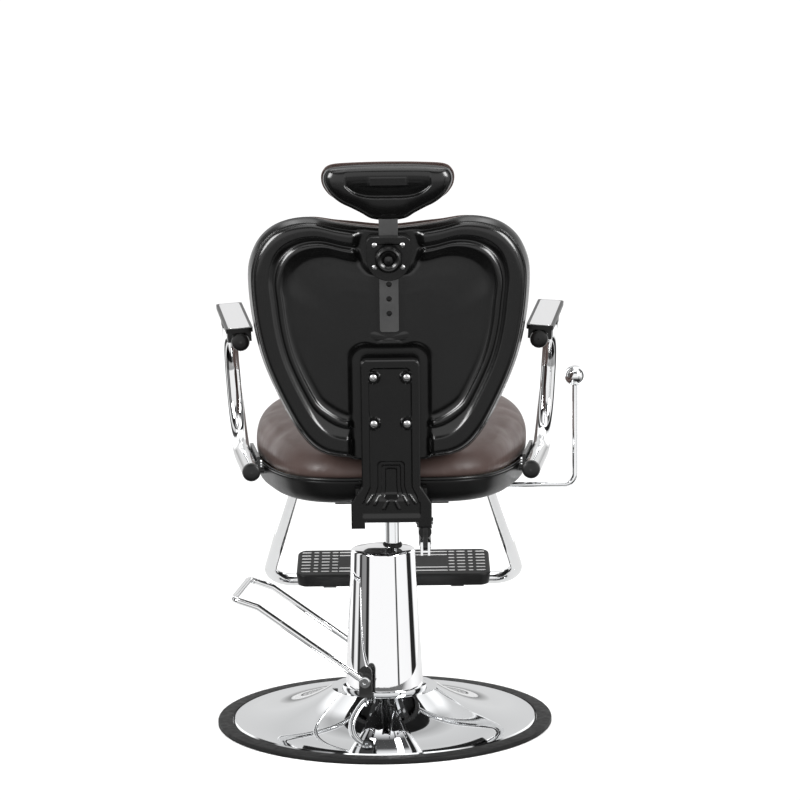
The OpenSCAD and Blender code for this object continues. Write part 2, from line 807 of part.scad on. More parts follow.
module arm_tube() {
    front = arm_run + arm_bend;
    difference() {
        at_arm() bent_tube(
            [[0, 0, 0], [0, front, 0], [0, front, arm_rise + front * tan(armrest_tilt)], [0, 0, arm_rise]],
            arm_bend, arm_d, arm_d - 2 * arm_wall
        );
        tube_bolt_bores();
    }
}

module arm_tube_left() {
    color(chrome) translate([2 * chair_x, 0, 0]) mirror([1, 0, 0]) arm_tube();
}

module arm_tube_right() {
    color(chrome) arm_tube();
}

module arm_cap() {
    plug = arm_r - arm_wall - seat_gap;
    lip = arm_r + 0.2;
    rotate([90, 0, 0]) rotate_extrude() polygon([
        [0, -16], [plug, -16], [plug, 0], [lip, 0], [lip, 7], [arm_r - 1, 9.5], [arm_r - 5, 11], [0, 12]
    ]);
}

module arm_caps() {
    color(black) both_chair_sides() {
        at_arm() arm_cap();
        at_armrest() arm_cap();
    }
}

// Flat strip inside each arm tube, with two bosses that reach the side of the seat tray
module arm_brackets() {
    tab_w = 28;
    tab_low = board_bolt_z - 9;
    color(black) difference() {
        both_chair_sides() difference() {
            at_arm_foot() {
                translate([strip_x, strip_y[0], -strip_half_h])
                    cube([strip_t, strip_y[1] - strip_y[0], 2 * strip_half_h]);
                for (y = board_bolt_y) {
                    translate([strip_x, y - tab_w / 2, tab_low]) cube([strip_t, tab_w, -tab_low]);
                    translate([strip_x - 14, y, board_bolt_z]) x_cylinder(15, 30);
                }
            }
            translate([chair_x, 0, tray_z - 10]) linear_extrude(tray_h + 20) polygon(seat_shape(-seat_gap));
            tube_bolt_bores();
        }
        board_bolt_bores();
    }
}

module arm_bolts() {
    head = 4;
    board_shank = board_bolt_l - 3;
    color(chrome) both_chair_sides() at_arm_foot() {
        for (y = tube_bolt_y) {
            translate([strip_x - head / 2, y, 0]) x_cylinder(13, head);
            translate([strip_x + 7, y, 0]) x_cylinder(arm_bolt_d, 14);
        }
        for (y = board_bolt_y) {
            translate([strip_x + strip_t + head / 2, y, board_bolt_z]) x_cylinder(13, head);
            translate([strip_x + strip_t - board_shank / 2, y, board_bolt_z]) x_cylinder(arm_bolt_d, board_shank);
        }
    }
}

saddle_top = arm_r + 0.3;
saddle_y = [6, 160];
module arm_saddles() {
    saddle_w = armrest_w - 6;
    saddle_l = 38;
    color(black) both_chair_sides() at_armrest() difference() {
        for (y = saddle_y) translate([-saddle_w / 2, y, -2]) cube([saddle_w, saddle_l, saddle_top + 2]);
        translate([0, 110, 0]) y_cylinder(arm_d + 2 * seat_gap, 300);
    }
}

armrest_back = -6;
plate_inset = 5;
plate_sunk = 2.5;
// Outline of an armrest, seen from above
module armrest_outline(inset) {
    corner = 7;
    half_w = armrest_w / 2 - inset;
    translate([-half_w + corner, armrest_back + inset + corner])
        minkowski() {
            square([2 * (half_w - corner), armrest_l - 2 * (inset + corner)]);
            circle(r = corner, $fn = 24);
        }
}

module armrest() {
    lip_h = 14;
    at_armrest() translate([0, 0, saddle_top]) difference() {
        union() {
            linear_extrude(armrest_t) armrest_outline(0);
            translate([-armrest_w / 2 + 4, armrest_back + armrest_l - 10, -lip_h + 1]) cube([armrest_w - 8, 10, lip_h]);
        }
        translate([0, 0, armrest_t - plate_sunk]) linear_extrude(armrest_t) armrest_outline(plate_inset);
    }
}

module armrest_plate() {
    at_armrest() translate([0, 0, saddle_top + armrest_t - plate_sunk])
        linear_extrude(plate_sunk + 0.5) armrest_outline(plate_inset + seat_gap);
}

module armrest_left() {
    color(black) translate([2 * chair_x, 0, 0]) mirror([1, 0, 0]) armrest();
}

module armrest_right() {
    color(black) armrest();
}

module armrest_plate_left() {
    color(chrome) translate([2 * chair_x, 0, 0]) mirror([1, 0, 0]) armrest_plate();
}

module armrest_plate_right() {
    color(chrome) armrest_plate();
}

// ---------- footrest ----------

foot_root_x = 183;
foot_bolt_x = 18.5;
foot_bolt_d = 5;
foot_root_z = tray_z - rail_h / 2;
foot_flange_t = 5;
foot_tube_wall = 2;
foot_root_y = rail_front + cross_w + foot_flange_t;
module footrest_frame() {
    bend = 46;
    root = [foot_root_x, foot_root_y - 1, foot_root_z];
    corner = [foot_half_w, foot_y, foot_z];
    color(chrome) translate([chair_x, 0, 0]) {
        difference() {
            bent_tube(
                [[-root[0], root[1], root[2]], [-corner[0], corner[1], corner[2]], corner, root],
                bend, foot_tube_d, foot_tube_d - 2 * foot_tube_wall
            );
            translate([-foot_half_w, foot_root_y - foot_flange_t - 60, foot_z]) cube([2 * foot_half_w, 60, tray_z]);
        }
        for (side = [-1, 1]) translate([side * foot_root_x, foot_root_y - foot_flange_t / 2, foot_root_z])
            difference() {
                cube([2 * (cross_half - foot_root_x), foot_flange_t, rail_h], center = true);
                for (x = [-foot_bolt_x, foot_bolt_x]) translate([x, 0, 0])
                    y_cylinder(foot_bolt_d + 0.4, 3 * foot_flange_t);
            }
    }
}

module footrest_bolts() {
    head_h = 3.5;
    length = 18;
    color(zinc) for (side = [-1, 1], x = [-foot_bolt_x, foot_bolt_x])
        translate([chair_x + side * foot_root_x + x, foot_root_y, foot_root_z]) {
            translate([0, head_h / 2, 0]) rotate([90, 0, 0])
                cylinder(d = 1.75 * foot_bolt_d, h = head_h, center = true, $fn = 6);
            translate([0, -length / 2, 0]) y_cylinder(foot_bolt_d, length);
        }
}

// Frame of the footrest pad: origin on the axis of the cross tube, +Y along the pad
module at_foot_pad() {
    translate([chair_x, foot_y, foot_z]) rotate([foot_tilt, 0, 0]) children();
}

foot_pad_base = foot_tube_d / 2 - 1;
module footrest_pad() {
    edge = 4;
    channel = foot_tube_d + 2 * air;
    color(black) at_foot_pad() difference() {
        translate([-foot_pad_w / 2 + 8, -foot_pad_l / 2 + 8, foot_pad_base]) minkowski() {
            cube([foot_pad_w - 16, foot_pad_l - 16, foot_pad_h - edge]);
            cylinder(r1 = 8, r2 = 5, h = edge, $fn = 24);
        }
        x_cylinder(channel, 2 * foot_pad_w);
    }
}

clip_x = [-130, 130];
module footrest_clips() {
    width = 26;
    wrap = foot_tube_d + 10;
    color(black) at_foot_pad() for (x = clip_x) translate([x, 0, 0]) difference() {
        union() {
            x_cylinder(wrap, width);
            translate([-width / 2, -wrap / 2 - 9, foot_pad_base - 5]) cube([width, wrap + 18, 5 - seat_gap]);
        }
        x_cylinder(foot_tube_d + 2 * air, 2 * width);
        translate([-width, -wrap, foot_pad_base - seat_gap]) cube([2 * width, 2 * wrap, wrap]);
    }
}

// ---------- recline ----------

gas_x = arm_plate_x;                              // gas spring from the middle of the chair
crank_z = hinge_z - crank_r * cos(crank_lag);
crank_y = -hinge_y - crank_r * sin(crank_lag);
gas_z = crank_z;
fork_t = 4;
fork_half = tongue_t / 2 + air + fork_t;
fork_reach = 12;          // from the crank pin to the rear end of the prongs
fork_root = 15;           // from the crank pin to the root of the prongs
cylinder_back = crank_y + fork_root + 11;
cylinder_front = -anchor_y - 74;
slot_dip = 5.5;
rod_head_w = 2 * anchor_half - 3;
rod_head_front = valve_tip_y - 7;
valve_d = 5;
valve_l = 18;
valve_stroke = 4.5;

module gas_anchor_pin() {
    half = anchor_half + anchor_ear_t + 2;
    head_t = 2.5;
    color(zinc) translate([chair_x + gas_x, -anchor_y, gas_z]) {
        x_cylinder(gas_pin_d, 2 * half);
        translate([half + head_t / 2, 0, 0]) x_cylinder(gas_pin_d + 5, head_t);
    }
}

module gas_rod() {
    head_back = -anchor_y - 12;
    rod_back = cylinder_front - 54;
    bore_back = valve_tip_y - valve_l - valve_stroke - 0.5;
    color(chrome) translate([chair_x + gas_x, 0, gas_z]) difference() {
        union() {
            translate([-rod_head_w / 2, head_back, -9]) cube([rod_head_w, rod_head_front - head_back, 18]);
            translate([0, (rod_back - anchor_y) / 2, 0]) y_cylinder(gas_rod_d, -anchor_y - rod_back);
        }
        translate([0, -anchor_y, 0]) x_cylinder(gas_pin_d + 2 * fit_gap, 3 * rod_head_w);
        translate([0, (bore_back + rod_head_front + 1) / 2, 0])
            y_cylinder(valve_d + 2 * fit_gap, rod_head_front + 1 - bore_back);
    }
}

module gas_valve_pin() {
    color(steel) translate([chair_x + gas_x, valve_tip_y - valve_l / 2, gas_z]) y_cylinder(valve_d, valve_l);
}

module gas_cylinder() {
    length = cylinder_front - cylinder_back;
    end_t = 8;
    wall = 2;
    color(black) translate([chair_x + gas_x, 0, gas_z]) difference() {
        translate([0, (cylinder_front + cylinder_back) / 2, 0]) y_cylinder(gas_d, length);
        translate([0, (cylinder_front + cylinder_back) / 2, 0]) y_cylinder(gas_d - 2 * wall, length - 2 * end_t);
        translate([0, cylinder_front, 0]) y_cylinder(gas_rod_d + 2 * fit_gap, 30);
    }
}

module gas_clevis() {
    slot_w = gas_pin_d + 1.6;
    back = crank_y - fork_reach;
    root = crank_y + fork_root;
    low = -slot_dip - slot_w / 2 - 3;
    high = slot_w / 2 + 3.4;
    disc_t = 6;
    color(chrome) translate([chair_x + gas_x, 0, gas_z]) difference() {
        union() {
            translate([0, cylinder_back - disc_t / 2, 0]) y_cylinder(gas_d - 2, disc_t);
            translate([-fork_half, back, low]) cube([2 * fork_half, cylinder_back - disc_t - back, high - low]);
        }
        translate([-tongue_t / 2 - air, back - 1, low - 1]) cube([tongue_t + 2 * air, root - back + 1, high - low + 2]);
        translate([0, crank_y, 0.4]) x_cylinder(slot_w, 60);
        translate([0, crank_y, -slot_dip]) x_cylinder(slot_w, 60);
        translate([-30, crank_y - slot_w / 2, -slot_dip]) cube([60, slot_w, slot_dip + 0.4]);
    }
}

lever_in = gas_x - finger_w / 2;
lever_x = seat_w / 2 + lever_out;
module recline_lever() {
    bend = 20;
    finger_t = 8;
    finger_l = lever_z - gas_z + 4;
    color(chrome) translate([chair_x, lever_y, lever_z]) {
        bent_tube([[lever_in, 0, 0], [lever_x, 0, 0], [lever_x, 0, lever_rise - ball_d / 2 + 6]], bend, lever_d);
        translate([lever_in, -finger_t / 2, -finger_l]) cube([finger_w, finger_t, finger_l]);
    }
}

module lever_ball() {
    color(chrome) translate([chair_x + lever_x, lever_y, lever_z + lever_rise]) difference() {
        sphere(d = ball_d);
        translate([0, 0, -ball_d]) cylinder(d = lever_d + seat_gap, h = ball_d - ball_d / 2 + 6 + seat_gap);
    }
}

// ---------- back ----------

// Frame of the back: origin at the recline pivot, +Z up along the back, -Y to the rear
module at_back() {
    translate([chair_x, -hinge_y, hinge_z]) rotate([back_tilt, 0, 0]) children();
}

panel_y = 2;              // rear face of the shell's middle panel
plate_y = -10;            // rear face of the steel upright
upright_top = 276;
crank_local = [
    -crank_r * sin(crank_lag) * cos(back_tilt) - crank_r * cos(crank_lag) * sin(back_tilt),
    crank_r * sin(crank_lag) * sin(back_tilt) - crank_r * cos(crank_lag) * cos(back_tilt)
];
screw_rows = [174, 258];
screw_x = 29;

module back_upright() {
    half_w = upright_w / 2 - 12;
    packer_z = 160;
    packer_h = upright_top - 6 - packer_z;
    color(black) at_back() difference() {
        union() {
            translate([-half_w, plate_y, 44]) cube([2 * half_w, plate_t, upright_top - 44]);
            translate([-arm_plate_x - tongue_t / 2, plate_y, 24]) cube([2 * arm_plate_x + tongue_t, plate_t, 26]);
            translate([-half_w + 6, plate_y + plate_t - 1, packer_z])
                cube([2 * half_w - 12, panel_y - plate_y - plate_t + 1, packer_h]);
            for (side = [-1, 1]) {
                translate([side * arm_plate_x, 0, 0]) x_cylinder(26, tongue_t);
                translate([side * arm_plate_x - tongue_t / 2, plate_y, 0]) cube([tongue_t, 20, 50]);
            }
            hull() {
                translate([arm_plate_x, 0, 0]) x_cylinder(20, tongue_t);
                translate([arm_plate_x, crank_local[0], crank_local[1]]) x_cylinder(16, tongue_t);
            }
            translate([arm_plate_x, cover_back + cover_wall + 6.3, -28]) y_cylinder(23, 12);
        }
        for (side = [-1, 1]) translate([side * arm_plate_x, 0, 0]) x_cylinder(hinge_pin_d + 2 * fit_gap, 3 * tongue_t);
        translate([arm_plate_x, crank_local[0], crank_local[1]]) x_cylinder(gas_pin_d, 3 * tongue_t);
        for (x = [-screw_x, screw_x], z = screw_rows) translate([x, 0, z]) y_cylinder(6.4, 60);
    }
}

module recline_pins() {
    inner = hinge_lug_x - hinge_lug_t / 2 - 2;
    outer = arm_plate_x + tongue_t / 2;
    color(zinc) at_back() for (side = [-1, 1]) {
        translate([side * (inner + outer) / 2, 0, 0]) x_cylinder(hinge_pin_d, outer - inner);
        translate([side * (outer + 1.5), 0, 0]) x_cylinder(hinge_pin_d + 6, 3);
    }
}

module crank_pin() {
    length = 2 * fork_half + 3;
    color(zinc) at_back() translate([gas_x, crank_local[0], crank_local[1]]) x_cylinder(gas_pin_d - 0.02, length);
}

cover_back = -24;
cover_wall = 3;
// Right half of the upright cover's outline, from its top to the notch between its ears
function cover_outline(d) =
    let (w = upright_w / 2 - d, e = ear_w / 2 - d, top = 290 - d, low = -20 + d, notch = -8 + d, in = 47 + d)
    concat(
        [for (a = [0 : 15 : 90]) [w - 9 + 9 * sin(a), top - 9 + 9 * cos(a)]],
        [[w, 58], [e, 27], [e, low], [in, low], [in, notch]]
    );
function cover_loop(d) =
    let (half = cover_outline(d))
    concat(half, [for (i = [len(half) - 1 : -1 : 0]) [-half[i][0], half[i][1]]]);

// Inner half of the same outline; it is open below the ears
function cover_inside(d) =
    let (half = [for (p = cover_outline(d)) if (p[1] >= 27) p])
    concat(half, [[ear_w / 2 - d, -40], [-ear_w / 2 + d, -40]], [for (i = [len(half) - 1 : -1 : 0]) [-half[i][0], half[i][1]]]);

module upright_cover() {
    depth = plate_y - cover_back - seat_gap;
    slot_w = tongue_t + 2 * air;
    color(black) at_back() rotate([90, 0, 0]) translate([0, 0, -cover_back]) mirror([0, 0, 1]) difference() {
        linear_extrude(depth) polygon(cover_loop(0));
        translate([0, 0, cover_wall]) linear_extrude(depth) polygon(cover_inside(cover_wall));
        for (x = [-screw_x, screw_x], z = screw_rows) translate([x, z, -1]) cylinder(d = 6.4, h = depth + 2);
        translate([arm_plate_x - slot_w / 2, -30, -1]) cube([slot_w, 20, depth + 2]);
    }
}

module cover_screws() {
    color(zinc) at_back() for (x = [-screw_x, screw_x], z = screw_rows) translate([x, 0, z]) {
        translate([0, cover_back - 1.7, 0]) y_cylinder(13, 3.4);
        translate([0, (cover_back + board_y + board_screw_in - 1) / 2 - 1, 0])
            y_cylinder(6, board_y + board_screw_in - 1 - cover_back + 2);
    }
}

// Right half of the back's outline, from the middle of its top edge to the middle of its bottom edge
back_top = 536;
back_half = [
    [0, 515], [48, 519], [92, 526], [140, back_top], [188, 527], [221, 503], [240, 466], [245, 425], [239, 354],
    [223, 281], [193, 206], [158, 141], [122, 108], [70, 98], [0, 97]
];
back_middle = [0, 320];
back_outline = spline(both_sides([for (p = back_half) [p[0] * back_w / 490, p[1]]]), 2);

// One ring of a piece of the back: drawn in by d at the sides and by d * end at the top and the bottom.
// Near the middle of the top edge it is nowhere further to the rear than the place low.
function back_ring(d, y, end = 1, low = -99) =
    let (
        ring = drawn_in(back_outline, back_middle, [back_w / 2, 220 / end], d),
        last = len(ring) - 1
    )
    [for (i = [0 : last]) [ring[i][0], (i < 3 || i > last - 2) ? max(y, low) : y, ring[i][1]]];

clamp_screw_x = 24;
clamp_screw_z = [455, 494];
shell_inset = 13;         // how far the cushion stands out around the shell
shell_wall = 3;
board_y = panel_y + shell_wall + seat_gap;    // rear face of the plywood board
shell_front = board_y + board_t;
board_screw_in = 10;      // how far the screws enter the board
shell_rings = [[0, shell_front], [1, 10], [6, 0], [14, -3], [26, -2], [31, 1.5], [45, panel_y]];
module back_shell() {
    outer = [for (s = shell_rings) back_ring(shell_inset + s[0], s[1], 1, panel_y)];
    inner = [
        for (i = [len(shell_rings) - 1 : -1 : 0])
            let (d = shell_inset + shell_rings[i][0] + (i < 3 ? shell_wall : 1))
            back_ring(d, min(shell_rings[i][1] + shell_wall, shell_front), 1, panel_y + shell_wall)
    ];
    color(black) at_back() difference() {
        loft(concat([for (i = [len(outer) - 1 : -1 : 0]) outer[i]], [for (i = [len(inner) - 1 : -1 : 0]) inner[i]]));
        for (x = [-clamp_screw_x, clamp_screw_x], z = clamp_screw_z) translate([x, 0, z]) y_cylinder(5.4, 30);
        for (x = [-screw_x, screw_x], z = screw_rows) translate([x, 0, z]) y_cylinder(6.6, 30);
    }
}

module back_board() {
    edge = [for (p = back_ring(shell_inset + 10, 0)) [p[0], p[2]]];
    color(plywood) at_back() difference() {
        translate([0, shell_front, 0]) rotate([90, 0, 0]) linear_extrude(board_t) polygon(edge);
        for (x = [-screw_x, screw_x], z = screw_rows) translate([x, board_y, z]) y_cylinder(6.2, 2 * board_screw_in);
        for (x = [-clamp_screw_x, clamp_screw_x], z = clamp_screw_z) translate([x, board_y, z])
            y_cylinder(5.2, 2 * board_screw_in);
    }
}

module back_cushion() {
    y = shell_front + air;
    t = back_pad_t;
    color(leather) at_back() loft([
        back_ring(105, y + t - 4, 1.1),
        back_ring(60, y + t, 1.3),
        back_ring(32, y + 0.93 * t, 1.5),
        back_ring(15, y + 0.80 * t, 1.7),
        back_ring(7, y + 0.62 * t, 1.8),
        back_ring(7, y + 0.42 * t, 1.6),
        back_ring(1, y + 0.22 * t),
        back_ring(0, y + 0.12 * t),
        back_ring(3, y + 2),
        back_ring(9, y)
    ]);
}

// ---------- headrest ----------

bar_front = panel_y - 0.4;
bar_back = bar_front - bar_t;
clamp_z = 468;            // middle of the round lower end of the clamp
clamp_top = 507;
clamp_back = -24;
pin_z = 472;
pin_d = 9;
knob_travel = 8;
spring_seat = -20;

module headrest_clamp() {
    corner = 9;
    side = clamp_w / 2;
    front = panel_y - seat_gap;
    color(black) at_back() difference() {
        translate([0, front, 0]) rotate([90, 0, 0]) linear_extrude(front - clamp_back) hull() {
            translate([0, clamp_z]) circle(r = side);
            for (x = [-side + corner, side - corner]) translate([x, clamp_top - corner]) circle(r = corner, $fn = 32);
        }
        translate([-bar_w / 2 - air, bar_back - air, clamp_z - 60]) cube([bar_w + 2 * air, 20, 120]);
        translate([0, clamp_back - 1, pin_z]) y_cylinder(pin_d + 2 * fit_gap, 70);
        translate([0, (spring_seat + bar_back) / 2, pin_z]) y_cylinder(16, bar_back - spring_seat);
        for (x = [-clamp_screw_x, clamp_screw_x], z = clamp_screw_z) translate([x, 0, z]) y_cylinder(5.4, 80);
    }
}

module clamp_screws() {
    color(zinc) at_back() for (x = [-clamp_screw_x, clamp_screw_x], z = clamp_screw_z) translate([x, 0, z]) {
        translate([0, clamp_back - 1.4, 0]) y_cylinder(10.5, 2.8);
        translate([0, (clamp_back + board_y + board_screw_in - 1) / 2, 0])
            y_cylinder(5, board_y + board_screw_in - 1 - clamp_back);
    }
}

knob_face = -48;
module index_knob() {
    r = knob_d / 2;
    front = clamp_back - air;
    color(black) at_back() translate([0, 0, pin_z]) rotate([90, 0, 0]) rotate_extrude() polygon([
        [pin_d / 2 + seat_gap, -front], [r - 6, -front], [r - 4, -front + 6], [r - 1, -front + 9], [r, -front + 12],
        [r, -knob_face - 5], [r - 2, -knob_face - 1.5], [r - 5, -knob_face], [r - 8, -knob_face - 1],
        [9, -knob_face - 6], [7, -knob_face - 2], [0, -knob_face - 1], [0, -knob_face - 9],
        [pin_d / 2 + seat_gap, -knob_face - 9]
    ]);
}

module index_pin() {
    tip = bar_back - air;
    color(steel) at_back() translate([0, 0, pin_z]) {
        translate([0, (tip + knob_face + 10) / 2, 0]) y_cylinder(pin_d, tip - knob_face - 10);
        translate([0, tip - 1.5, 0]) y_cylinder(pin_d + 5, 3);
    }
}

module index_spring() {
    height = bar_back - air - 3 - spring_seat - 2 * seat_gap;
    color(zinc) at_back() translate([0, spring_seat + seat_gap, pin_z]) rotate([-90, 0, 0])
        coil(6.2, 1.2, 3, height);
}

bar_bottom = 335;
bar_top = 598;
module headrest_bar() {
    holes = [for (z = [pin_z - 4 * hole_pitch : hole_pitch : pin_z + hole_pitch]) z];
    color(steel) at_back() difference() {
        union() {
            translate([-bar_w / 2, bar_back, bar_bottom + 5]) cube([bar_w, bar_t, bar_top - bar_bottom - 5]);
            translate([-bar_w / 2 + 5, bar_back, bar_bottom]) cube([bar_w - 10, bar_t, 6]);
            for (x = [-1, 1]) translate([x * (bar_w / 2 - 5), (bar_back + bar_front) / 2, bar_bottom + 5])
                y_cylinder(10, bar_t);
        }
        for (z = holes) translate([0, 0, z]) y_cylinder(hole_d, 40);
    }
}

head_shell_half = [
    [0, 531], [32, 535], [50, 544], [66, 551], [83, 560], [97, 572], [107, 588], [111, 602], [109, 616],
    [97, 625], [60, 629], [0, 631]
];
head_pad_half = [
    [0, 554], [56, 558], [92, 570], [108, 586], [113, 604], [111, 620], [97, 632], [60, 636], [0, 637]
];
head_middle = [0, 594];
head_scale = head_w / 226;
head_shell_outline = spline(both_sides([for (p = head_shell_half) [p[0] * head_scale, p[1]]]), 2);
head_pad_outline = spline(both_sides([for (p = head_pad_half) [p[0] * head_scale, p[1]]]), 3);
// One ring of a piece of the headrest, drawn in by d; it sinks by fall for each mm forward
function head_ring(outline, d, y, fall = 0) = [
    for (p = drawn_in(outline, head_middle, [head_w / 2, 62], d)) [p[0], y, p[1] - fall * y]
];
head_back = -14;
head_split = 14;
head_fall = 0.16;

module headrest_shell() {
    color(black) at_back() difference() {
        loft([
            head_ring(head_shell_outline, 2, head_split),
            head_ring(head_shell_outline, 0, 4),
            head_ring(head_shell_outline, 5, -6),
            head_ring(head_shell_outline, 14, -11),
            head_ring(head_shell_outline, 26, head_back)
        ]);
        translate([-bar_w / 2 - seat_gap, bar_back - seat_gap, 500])
            cube([bar_w + 2 * seat_gap, bar_t + 2 * seat_gap, bar_top - 500 + seat_gap]);
        translate([-plaque_w / 2 - seat_gap, head_back - 1, plaque_z - plaque_h / 2 - seat_gap])
            cube([plaque_w + 2 * seat_gap, 2.2, plaque_h + 2 * seat_gap]);
    }
}

plaque_w = 60;
plaque_h = 11;
plaque_z = 602;
module headrest_plaque() {
    color(black) at_back() translate([-plaque_w / 2, head_back - 0.8, plaque_z - plaque_h / 2])
        cube([plaque_w, 1.9, plaque_h]);
}

module headrest_cushion() {
    y = head_split + seat_gap;
    color(leather) at_back() loft([
        head_ring(head_pad_outline, 36, y + 60, head_fall),
        head_ring(head_pad_outline, 20, y + 57, head_fall),
        head_ring(head_pad_outline, 9, y + 48, head_fall),
        head_ring(head_pad_outline, 3, y + 34, head_fall),
        head_ring(head_pad_outline, 2, y + 22, head_fall),
        head_ring(head_pad_outline, 0, y + 10, head_fall),
        head_ring(head_pad_outline, 1, y + 3, head_fall),
        head_ring(head_pad_outline, 5, y, head_fall)
    ]);
}

base_ring();
base_disc();
foot_collar();
pump_bolts();
pump_housing();
oil_tank();
pump_cover();
rod_seal();
pedal_brackets();
pedal_shaft();
pedal_loop();
pedal_screws();
pump_plunger();
plunger_spring();
piston_rod();
swivel_bearing();
seat_mount();
mount_bolts();
seat_frame();
seat_tray();
seat_board();
seat_cushion();
arm_brackets();
arm_tube_left();
arm_tube_right();
arm_caps();
arm_bolts();
arm_saddles();
armrest_left();
armrest_right();
armrest_plate_left();
armrest_plate_right();
footrest_frame();
footrest_bolts();
footrest_pad();
footrest_clips();
gas_anchor_pin();
gas_rod();
gas_valve_pin();
gas_cylinder();
gas_clevis();
recline_lever();
lever_ball();
back_upright();
recline_pins();
crank_pin();
upright_cover();
cover_screws();
back_shell();
back_board();
back_cushion();
headrest_clamp();
clamp_screws();
index_knob();
index_pin();
index_spring();
headrest_bar();
headrest_shell();
headrest_cushion();
headrest_plaque();
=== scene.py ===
import json
import math

import bmesh
import bpy
from mathutils import Matrix, Vector


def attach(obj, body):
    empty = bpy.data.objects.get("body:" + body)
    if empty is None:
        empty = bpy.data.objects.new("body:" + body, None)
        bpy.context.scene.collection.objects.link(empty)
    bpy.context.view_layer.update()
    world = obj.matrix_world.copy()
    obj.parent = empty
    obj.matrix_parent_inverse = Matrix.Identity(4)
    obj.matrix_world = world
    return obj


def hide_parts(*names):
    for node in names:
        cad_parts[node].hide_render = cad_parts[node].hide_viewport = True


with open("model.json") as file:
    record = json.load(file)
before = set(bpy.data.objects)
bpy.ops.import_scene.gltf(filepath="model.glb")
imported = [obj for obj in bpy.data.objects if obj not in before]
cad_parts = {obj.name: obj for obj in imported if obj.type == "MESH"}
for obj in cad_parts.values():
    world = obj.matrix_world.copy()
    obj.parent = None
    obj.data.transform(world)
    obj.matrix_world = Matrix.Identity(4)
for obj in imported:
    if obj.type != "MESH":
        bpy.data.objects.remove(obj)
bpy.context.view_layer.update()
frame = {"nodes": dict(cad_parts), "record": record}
nodes = frame["nodes"]

MM = 0.001
CHAIR_X = 18.0     # the seat's middle, from the middle of the base, in mm
BACK_FOOT = (CHAIR_X * MM, -0.252, 0.440)
BACK_LEAN = math.radians(9)
# Pieces are drawn in mm: those of the seat from the seat's middle on the floor, those of the back and the
# headrest from the back's foot, with z up along the back
SEAT = Matrix.Translation((CHAIR_X * MM, 0, 0))
BACK = Matrix.Translation(BACK_FOOT) @ Matrix.Rotation(BACK_LEAN, 4, "X")


def add_object(name, data):
    made = bpy.data.objects.new(name, data)
    bpy.context.scene.collection.objects.link(made)
    return made


# ---------- camera ----------

CAMERA_PLACE = (0.035, -4.700, 1.233)
CAMERA_PITCH = math.radians(7.55)
CAMERA_ROLL = math.radians(0.62)
SENSOR_WIDTH = 36
FOCAL_LENGTH = 2545 / 800 * SENSOR_WIDTH     # 2545 pixels in a view 800 pixels wide


def add_camera():
    forward = Vector((0, math.cos(CAMERA_PITCH), -math.sin(CAMERA_PITCH)))
    level = Vector((1, 0, 0))
    upright = level.cross(forward)
    right = math.cos(CAMERA_ROLL) * level - math.sin(CAMERA_ROLL) * upright
    up = math.sin(CAMERA_ROLL) * level + math.cos(CAMERA_ROLL) * upright
    data = bpy.data.cameras.new("camera")
    data.sensor_width = SENSOR_WIDTH
    data.lens = FOCAL_LENGTH
    data.clip_end = 60
    camera = add_object("camera", data)
    turn = Matrix((right, up, -forward)).transposed().to_4x4()
    camera.matrix_world = Matrix.Translation(CAMERA_PLACE) @ turn
    bpy.context.scene.camera = camera


# ---------- meshes ----------

def make_piece(name, points, faces, place=None, smooth=True):
    """A mesh object from points in mm."""
    mesh = bpy.data.meshes.new(name)
    mesh.from_pydata([Vector(p) * MM for p in points], [], faces)
    if place is not None:
        mesh.transform(place)
    mesh.validate()
    mesh.update()
    for polygon in mesh.polygons:
        polygon.use_smooth = smooth
    return add_object(name, mesh)


def face_outwards(piece):
    work = bmesh.new()
    work.from_mesh(piece.data)
    bmesh.ops.recalc_face_normals(work, faces=work.faces)
    work.to_mesh(piece.data)
    work.free()
    return piece


def loft(name, rings, place=None, ends=(True, True), smooth=True):
    """Skin over rings of points with the same count; an end is closed with a fan to its middle."""
    n = len(rings[0])
    points = [p for ring in rings for p in ring]
    faces = []
    for j in range(len(rings) - 1):
        for i in range(n):
            k = (i + 1) % n
            faces.append((j * n + i, j * n + k, (j + 1) * n + k, (j + 1) * n + i))
    for end, ring in ((0, rings[0]), (1, rings[-1])):
        if ends[end]:
            middle = sum((Vector(p) for p in ring), Vector()) / n
            points.append(tuple(middle))
            first = 0 if end == 0 else (len(rings) - 1) * n
            for i in range(n):
                faces.append((first + i, first + (i + 1) % n, len(points) - 1))
    return face_outwards(make_piece(name, points, faces, place, smooth))


def spline(points, steps, closed=True):
    """Catmull-Rom curve through points of any dimension."""
    n = len(points)
    out = []
    for i in range(n if closed else n - 1):
        if closed:
            a, b, c, d = (points[(i + k) % n] for k in (-1, 0, 1, 2))
        else:
            a, b, c, d = (points[min(max(i + k, 0), n - 1)] for k in (-1, 0, 1, 2))
        for k in range(steps):
            t = k / steps
            out.append(tuple(
                0.5 * (2 * b[j] + (c[j] - a[j]) * t + (2 * a[j] - 5 * b[j] + 4 * c[j] - d[j]) * t * t
                       + (3 * b[j] - a[j] - 3 * c[j] + d[j]) * t ** 3)
                for j in range(len(b))
            ))
    if not closed:
        out.append(tuple(points[-1]))
    return out


def both_sides(half):
    """The whole outline, from a half that starts and ends on the middle line."""
    return half + [(-a, b) for a, b in half[-2:0:-1]]


def point_in(point, centre, half_size, d):
    """A point of an outline, drawn in by d towards the centre."""
    return tuple(c + (p - c) * (1 - d / h) for p, c, h in zip(point, centre, half_size))


def drawn_in(outline, centre, half_size, d):
    return [point_in(point, centre, half_size, d) for point in outline]


def circle(sides):
    """Cosine and sine at equal steps around."""
    return [(math.cos(2 * math.pi * k / sides), math.sin(2 * math.pi * k / sides)) for k in range(sides)]


